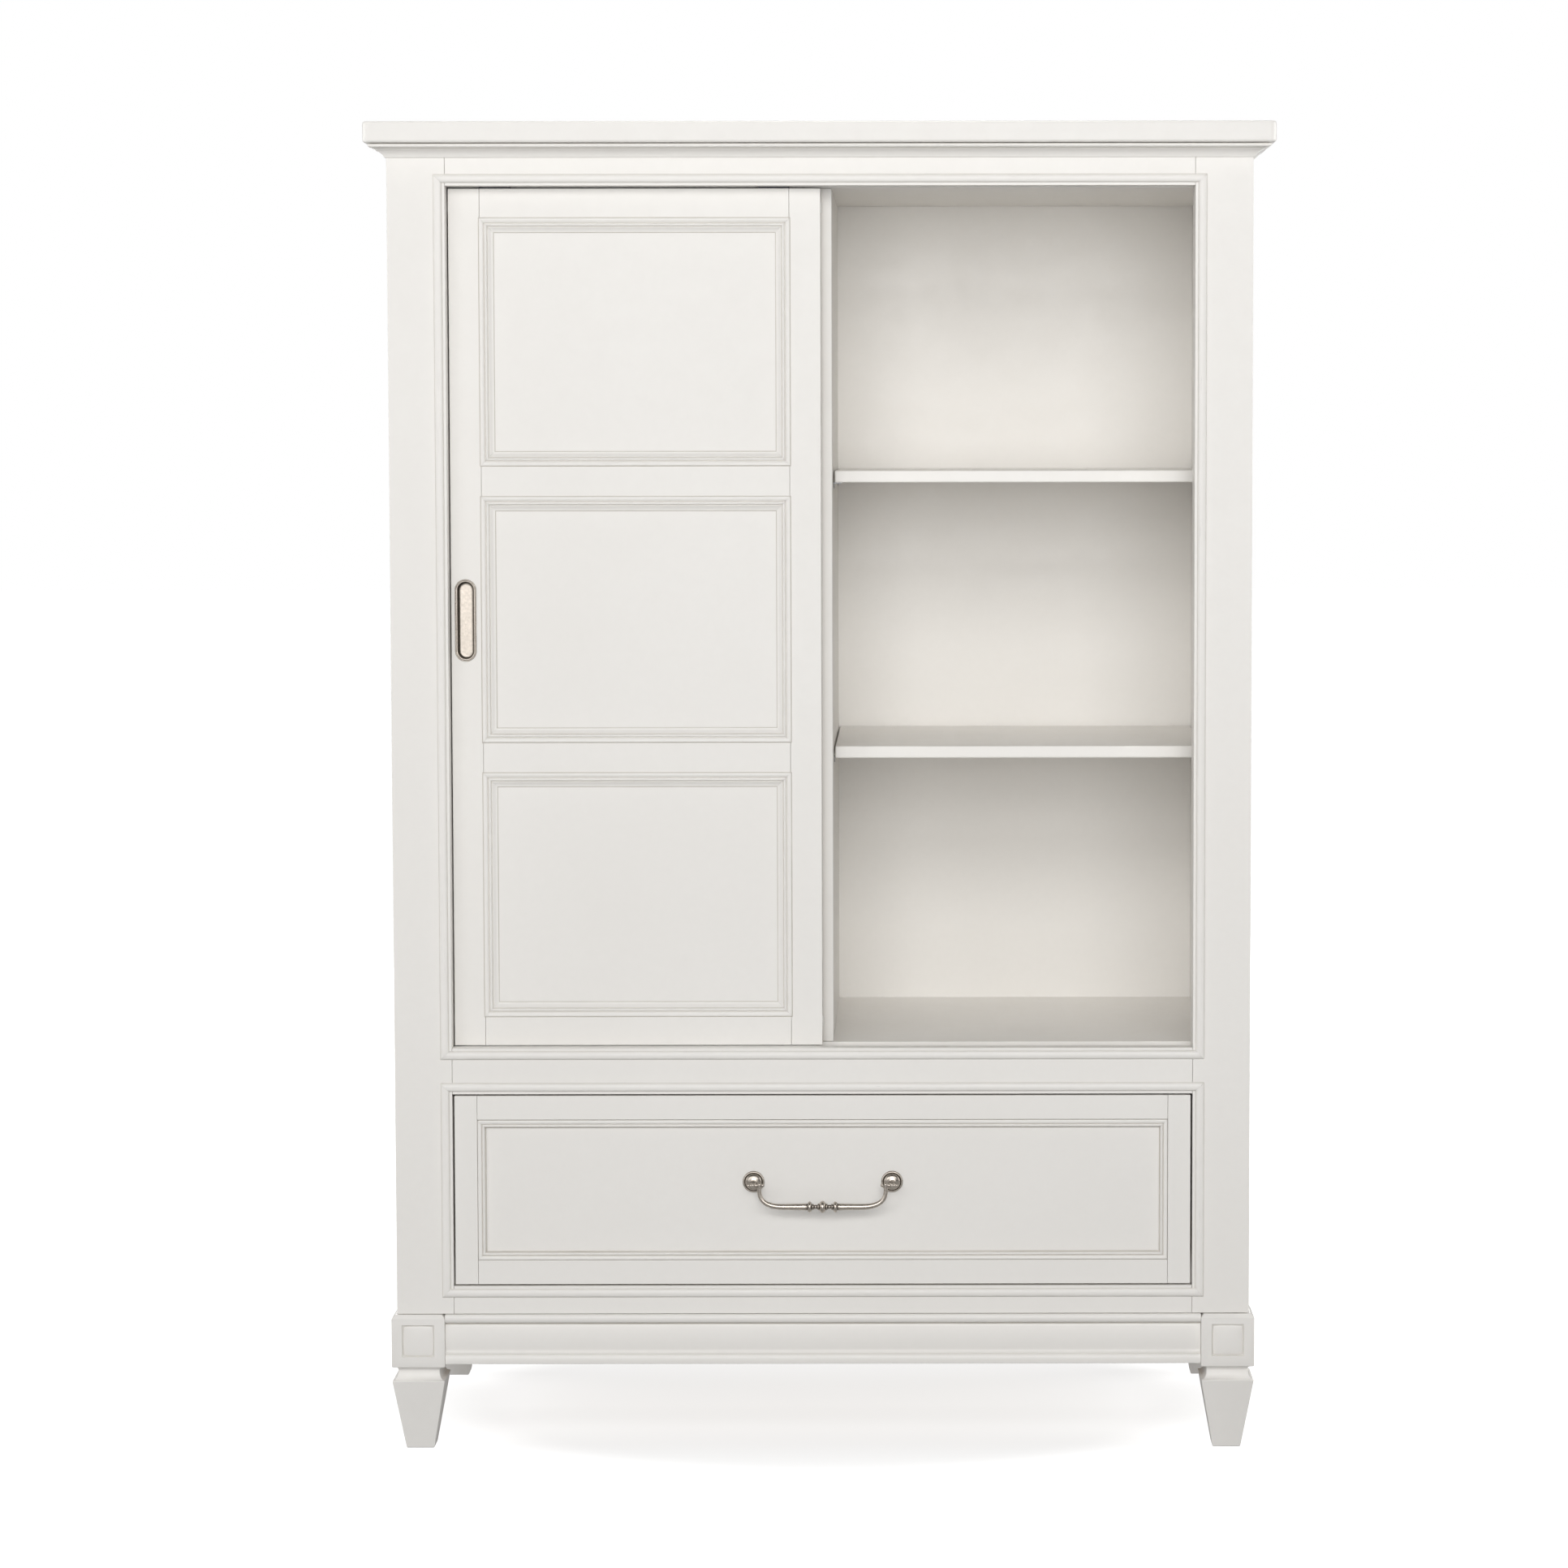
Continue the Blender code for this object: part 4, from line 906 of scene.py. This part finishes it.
def flush_pull(front):
    """A raised lip round a thin cup with a rounded floor."""
    centre, radius, straight = pull_place()
    throat = radius - 0.0037
    section = [(throat - 0.0038, -0.0110, 0.10), (throat - 0.0024, -0.0110, 0.45)]
    section += [(throat - 0.0010, -0.0106, 0.9), (throat - 0.0003, -0.0096, 1.0)]
    section += [(throat - 0.0001, -0.0080, 1.0)]
    section += [(throat, -0.0030, 0.85), (throat, -0.0012, 0.55), (throat + 0.0002, -0.0002, 0.25)]
    section += [(throat + 0.0006, 0.0004, 0.0), (throat + 0.0011, 0.0006, 0.0)]
    section += [(throat + 0.0015, 0.0005, 0.45)]
    section += [(throat + 0.0018, 0.0005, 0.55), (throat + 0.0021, 0.0009, 0.1)]
    section += [(throat + 0.0026, 0.0014, 0.0)]
    section += [(throat + 0.0031, 0.0014, 0.0), (throat + 0.0035, 0.0010, 0.15), (radius, 0.0004, 0.9)]
    section += [(radius, 0.0003, 1.0), (throat + 0.0005, 0.0003, 0.5), (throat + 0.0005, -0.0120, 0.5)]
    bm = new_mesh()
    stadium_loft(bm, centre, straight, front, section)
    piece("flush_pull_cup", bm, "door", "antique_pewter", ("flush_pull",), sharp=50.0)


BUMPER_TOP, BUMPER_BOTTOM = 0.0238, 0.0308  # from the door's top and bottom edges
BUMPER_RINGS = (  # (out of the edge, half depth, half height)
    (-0.004, 0.0040, 0.0062),
    (0.0004, 0.0040, 0.0075),
    (0.0009, 0.0036, 0.0070),
    (0.0013, 0.0026, 0.0058),
)


def bumpers():
    """Small stop buttons let into both edges of the door, near its top and bottom."""
    around = 24
    for name, side in SIDES:
        low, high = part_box(f"door_stile_{name}")
        edge = low.x if side < 0 else high.x
        middle = (low.y + high.y) / 2
        for level, z in (("top", high.z - BUMPER_TOP), ("bottom", low.z + BUMPER_BOTTOM)):
            bm = new_mesh()
            rings = []
            for out, y_half, z_half in BUMPER_RINGS:
                ring = []
                for i in range(around):
                    angle = math.tau * i / around
                    squared = max(abs(math.cos(angle)), abs(math.sin(angle))) ** 0.55
                    y = middle + y_half * math.cos(angle) / squared
                    ring.append(point(bm, (edge + side * out, y, z + z_half * math.sin(angle) / squared)))
                rings.append(ring)
            skin(bm, rings)
            piece(f"door_bumper_{name}_{level}", bm, "door", "glide_nylon", sharp=40.0)


# ---------------------------------------------------------------- drawer
def drawer_profile():
    """Band, quirk, bead, quirk and a short hollow down to the panel; the darkening at the quirks and the
    panel's edge is partly glaze, partly painted shade.
    """
    points = [(0.0001, -0.0052, 0, 0), (0.0001, 0.0002, 0, 0.9)]
    points += [(0.0005, 0.0007, 0, 0.5), (0.0010, 0.0010, 0.2, 0)]
    points += [(0.0022, 0.0011, 1.0, 0), (0.0036, 0.0008, 0.6, 0), (0.0046, 0.0003, 0, 0)]
    points += [(0.0052, -0.0002, 0, 0.3), (0.0057, -0.0016, 0, 0.9), (0.0063, -0.0010, 0, 0.2)]
    points += arc((0.0077, -0.0011), 0.0013, 160, 20, 6, wear=1.0)
    points += [(0.0091, -0.0013, 0, 0.1), (0.0097, -0.0026, 0, 0.8), (0.0102, -0.0034, 0, 1.0)]
    points += [(0.0109, -0.0040, 0, 1.0), (0.0110, -0.0052, 0, 1.0)]
    return points


def drawer():
    for name, _ in SIDES:
        board(f"drawer_front_stile_{name}", edge=0.0007)
        board(f"drawer_side_{name}", edge=0.0010)
    for name in ("top", "bottom"):
        board(f"drawer_front_rail_{name}", edge=0.0006)
    board("drawer_front_panel", edge=0.0003)
    board("drawer_back", edge=0.0010)
    board("drawer_bottom", edge=0.0003)
    low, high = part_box("drawer_front_moulding")
    bm = new_mesh()
    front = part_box("drawer_front_stile_left")[0].y
    mitred_frame(bm, (low.x, low.z), (high.x, high.z), front, drawer_profile())
    piece("drawer_front_moulding_mitred", bm, "drawer", "paint_white", ("drawer_front_moulding",))
    for name, side in SIDES:
        rosette(name, side)
    bail()


# ---------------------------------------------------------------- bail pull
PIVOT = Vector(JOINTS["bail_swing"]["pos_m"])
ROSETTE_Z = PIVOT.z + 0.0012
ROSETTE_X = 0.0904
CAD_GAP = 0.0003  # the CAD leaves this between pieces that touch


def rosette(name, side):
    """Back plate with a stepped rim, a domed boss, and a drilled post for the pin."""
    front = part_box("drawer_front_panel")[0].y
    x, base = side * ROSETTE_X, front - CAD_GAP
    plate = 0.0141
    section = [(0.0, 0.0, 0.5), (plate - 0.0002, 0.0, 1.0)]
    section += [(plate, 0.0006, 0.6), (plate - 0.0002, 0.0013, 0.1)]
    section += [(plate - 0.0007, 0.0021, 0.0), (plate - 0.0014, 0.0025, 0.0), (plate - 0.0020, 0.0024, 0.3)]
    section += [(plate - 0.0025, 0.0018, 1.0), (plate - 0.0029, 0.0016, 1.0), (0.0110, 0.0019, 0.7)]
    for i in range(0, 12):
        angle = math.radians(7.5 * i)
        section.append((0.0109 * math.cos(angle), 0.0022 + 0.0054 * math.sin(angle), 0.5 if i < 1 else 0.0))
    section.append((0.0, 0.0076, 0.0))
    bm = new_mesh()
    turned(bm, section, (x, base, ROSETTE_Z), (0, -1, 0), 64)
    made = piece(f"rosette_{name}_plate", bm, "drawer", "antique_pewter", (f"rosette_{name}",), sharp=40.0)
    reach = base - PIVOT.y
    shaft = [(0.0, 0.0030, 0.6), (0.0044, 0.0030, 1.0), (0.0044, 0.0082, 0.4), (0.0040, 0.0088, 0.1)]
    shaft += [(0.0034, 0.0089, 0.5), (0.0031, 0.0094, 1.0)]
    shaft += [(0.0028, 0.0120, 0.2), (0.0029, reach - 0.0056, 0.3)]
    shaft += [(0.0033, reach - 0.0050, 1.0), (0.0038, reach - 0.0046, 0.0), (0.0038, reach - 0.0040, 0.0)]
    shaft += [(0.0030, reach - 0.0034, 0.8), (0.0025, reach - 0.0022, 0.9)]
    for i in range(0, 12):
        angle = math.radians(-45 + 135 * i / 12)
        shaft.append((0.0029 * math.cos(angle), reach + 0.0029 * math.sin(angle), 0.4 if i < 3 else 0.0))
    shaft.append((0.0, reach + 0.0029, 0.0))
    bm = new_mesh()
    turned(bm, shaft, (x, base, PIVOT.z), (0, -1, 0), 32)
    boolean(made, loose("post", bm), "UNION")
    bm = new_mesh()
    drill = [(0.0, -0.02, 0), (0.0016, -0.02, 0), (0.0016, 0.02, 0), (0.0, 0.02, 0)]
    turned(bm, drill, (x, PIVOT.y, PIVOT.z), (1, 0, 0), 24)
    boolean(made, loose("drill", bm), "DIFFERENCE")
    patina = made.data.attributes["glaze_and_shade"].data
    for vert in made.data.vertices:
        if vert.co.y < PIVOT.y + 0.0020:
            patina[vert.index].value = 0.0
    made.data.shade_smooth()
    made.data.set_sharp_from_angle(angle=math.radians(40.0))


BAIL_DROP = 0.0283
ARM_INSET = 0.0080
SQUARENESS = 0.75


def bail_centreline():
    """(x, z, radius, glaze) of the left half, from the pivot to the middle of the bar."""
    start = -ROSETTE_X + ARM_INSET
    shoulder, run, bar_z = 0.0045, 0.034, PIVOT.z - BAIL_DROP
    found = []
    tip = ((0.0030, 0.0008), (0.0029, 0.0014), (0.0025, 0.0020), (0.0018, 0.0024), (0.0008, 0.0026))
    for z, radius in tip:
        found.append((start, PIVOT.z + z, radius, 0.0))
    found.append((start, PIVOT.z - 0.0015, 0.0024, 0.1))
    steps = 26
    for i in range(steps + 1):
        angle = math.radians(90 * i / steps)
        x = start + run * (1 - math.cos(angle) ** SQUARENESS)
        z = PIVOT.z - shoulder - (BAIL_DROP - shoulder) * math.sin(angle) ** SQUARENESS
        found.append((x, z, 0.0026 + 0.0013 * (i / steps) ** 1.2, 0.0))
    for share, radius in ((0.35, 0.0040), (0.7, 0.0042), (0.9, 0.0044), (1.0, 0.0045)):
        x = start + run + (-0.0200 - start - run) * share
        found.append((x, bar_z, radius, 0.5 if share == 1.0 else 0.0))
    return found, bar_z


def ring_bump(middle, half, edge, crest, steps=6):
    """(x, radius, glaze) over one rounded ring of the turning."""
    found = []
    for i in range(steps + 1):
        share = -1 + 2 * i / steps
        radius = edge + (crest - edge) * math.sqrt(max(0.0, 1 - share * share))
        found.append((middle + half * share, radius, 1.0 if abs(share) > 0.99 else 0.0))
    return found


def centre_turning():
    found = [(-0.0196, 0.0036, 1.0)]
    found += ring_bump(-0.0167, 0.0026, 0.0044, 0.0070, 8)
    found += [(-0.0138, 0.0032, 1.0)]
    found += ring_bump(-0.0125, 0.0011, 0.0030, 0.0042)
    found += [(-0.0111, 0.0024, 1.0), (-0.0104, 0.0023, 0.6)]
    found += ring_bump(-0.0090, 0.0012, 0.0024, 0.0031)
    found += [(-0.0075, 0.0023, 0.6), (-0.0068, 0.0026, 1.0)]
    found += ring_bump(-0.0055, 0.0010, 0.0034, 0.0046)
    found += [(-0.0044, 0.0038, 0.8), (-0.0038, 0.0050, 0.2), (-0.0030, 0.0063, 0.0)]
    found += [(-0.0020, 0.0072, 0.0), (-0.0009, 0.0077, 0.0)]
    return found


def bail():
    """The bar is swept along its centreline and carries a ball-ended pin through each arm."""
    half, bar_z = bail_centreline()
    half += [(x, bar_z, radius, glaze_and_shade) for x, radius, glaze_and_shade in centre_turning()]
    stations = half + [(0.0, bar_z, 0.0078, 0.0)] + [(-x, z, r, g) for x, z, r, g in reversed(half)]
    bm = new_mesh()
    rings, around = [], 32
    for i, (x, z, radius, glaze_and_shade) in enumerate(stations):
        before, after = stations[max(i - 1, 0)], stations[min(i + 1, len(stations) - 1)]
        heading = Vector((after[0] - before[0], 0.0, after[1] - before[1])).normalized()
        across = heading.cross(Vector((0, 1, 0)))
        ring = []
        for k in range(around):
            angle = math.tau * k / around
            offset = radius * (math.cos(angle) * across + math.sin(angle) * Vector((0, 1, 0)))
            ring.append(point(bm, Vector((x, PIVOT.y, z)) + offset, glaze_and_shade=glaze_and_shade))
        rings.append(ring)
    skin(bm, rings)
    made = piece("bail_turned", bm, "bail", "antique_pewter", ("bail_handle",), sharp=50.0)
    for name, side in SIDES:
        bm = new_mesh()
        section = pin_section()
        turned(bm, section, (side * ROSETTE_X, PIVOT.y, PIVOT.z), (side, 0, 0), 24)
        boolean(made, loose(f"pin_{name}", bm), "UNION")
    made.data.shade_smooth()
    made.data.set_sharp_from_angle(angle=math.radians(50.0))


def pin_section():
    """A pin with a ball at each end; heights run outwards from the rosette's middle."""
    inner, outer, ball, pin = -ARM_INSET - 0.0046, 0.0058, 0.0023, 0.0015
    section = [(0.0, inner - ball, 0.0)]
    for i in range(1, 11):
        angle = math.radians(-90 + 140 * i / 10)
        section.append((ball * math.cos(angle), inner + ball * math.sin(angle), 0.0))
    section += [(pin, inner + 0.0024, 1.0), (pin, outer - 0.0024, 1.0)]
    for i in range(0, 10):
        angle = math.radians(-50 + 140 * i / 10)
        section.append((ball * math.cos(angle), outer + ball * math.sin(angle), 0.0))
    section.append((0.0, outer + ball, 0.0))
    return section


# ---------------------------------------------------------------- small fittings
PIN_INSET = 0.036  # from a shelf's front and back edges
PIN_SECTION = (  # (radius, height, glaze): shank and collar
    (0.0, -0.0085, 0),
    (0.0026, -0.0085, 0),
    (0.0026, 0.0, 0),
    (0.0044, 0.0, 0),
    (0.0046, 0.0002, 0),
    (0.0046, 0.0007, 0),
    (0.0044, 0.0009, 0),
    (0.0, 0.0009, 0),
)


def shelf_pins():
    """Spoon-ended steel pins under each end of each shelf."""
    for level in ("lower", "upper"):
        for name, side in SIDES:
            low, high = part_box(f"shelf_{level}_{name}")
            inner, outer = (low.x, high.x) if side > 0 else (high.x, low.x)
            for end, x, way in (("inner", inner, -side), ("outer", outer, side)):
                for depth, y in (("front", low.y + PIN_INSET), ("back", high.y - PIN_INSET)):
                    bm = new_mesh()
                    wall = x + way * 0.0019
                    turned(bm, PIN_SECTION, (wall, y, low.z - 0.0034), (-way, 0, 0), 20)
                    near, far = sorted((wall - way * 0.0005, wall - way * 0.0100))
                    block(bm, (near, y - 0.0042, low.z - 0.0016), (far, y + 0.0042, low.z - 0.0002))
                    piece(f"shelf_pin_{level}_{name}_{end}_{depth}", bm, "case", "runner_zinc", sharp=35.0)


def back_screws():
    """Pan-head screws that hold the back panel into its rabbet."""
    low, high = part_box("back_panel")
    sides = (low.x + 0.0075, high.x - 0.0075)
    levels = [low.z + share * (high.z - low.z) for share in (0.03, 0.22, 0.41, 0.60, 0.79, 0.97)]
    places = [(x, z) for x in sides for z in levels]
    places += [(share * high.x, z) for share in (-0.5, 0.0, 0.5) for z in (low.z + 0.014, high.z - 0.014)]
    for index, (x, z) in enumerate(places):
        bm = new_mesh()
        section = [(0.0, -0.0004, 0), (0.0034, -0.0004, 0.4), (0.0036, 0.0002, 0.2), (0.0032, 0.0010, 0)]
        section += [(0.0020, 0.0016, 0), (0.0, 0.0018, 0)]
        turned(bm, section, (x, high.y - 0.0004, z), (0, 1, 0), 16)
        made = piece(f"back_screw_{index}", bm, "case", "runner_zinc", sharp=40.0)
        turn = math.radians(37 * index)
        for quarter in (0.0, math.pi / 2):
            bm = new_mesh()
            spin = Matrix.Translation((x, high.y + 0.0013, z)) @ Matrix.Rotation(turn + quarter, 4, "Y")
            sized = Matrix.Diagonal((0.0038, 0.0014, 0.0006, 1.0))
            bmesh.ops.create_cube(bm, size=1.0, matrix=spin @ sized)
            boolean(made, loose("recess", bm), "DIFFERENCE")


def carried_over():
    """CAD nodes that are shown as they are take their finish."""
    kept = ["door_track", "door_guide_strip"]
    for name, _ in SIDES:
        kept += [f"side_panel_{name}", f"door_hanger_{name}"]
        kept += [f"case_runner_{name}", f"drawer_runner_{name}"]
    for node in kept:
        NODES[node].data.materials.clear()
        look = "hanger_steel" if "hanger" in node else SLOT_OF[node]
        NODES[node].data.materials.append(FINISH[look])


# ---------------------------------------------------------------- build
make_camera()
make_studio()
top_panel()
crown()
middle_rail()
opening_bead("door_opening_bead")
opening_bead("drawer_opening_bead")
case_boards()
aprons()
legs()
door()
drawer()
shelf_pins()
back_screws()
carried_over()
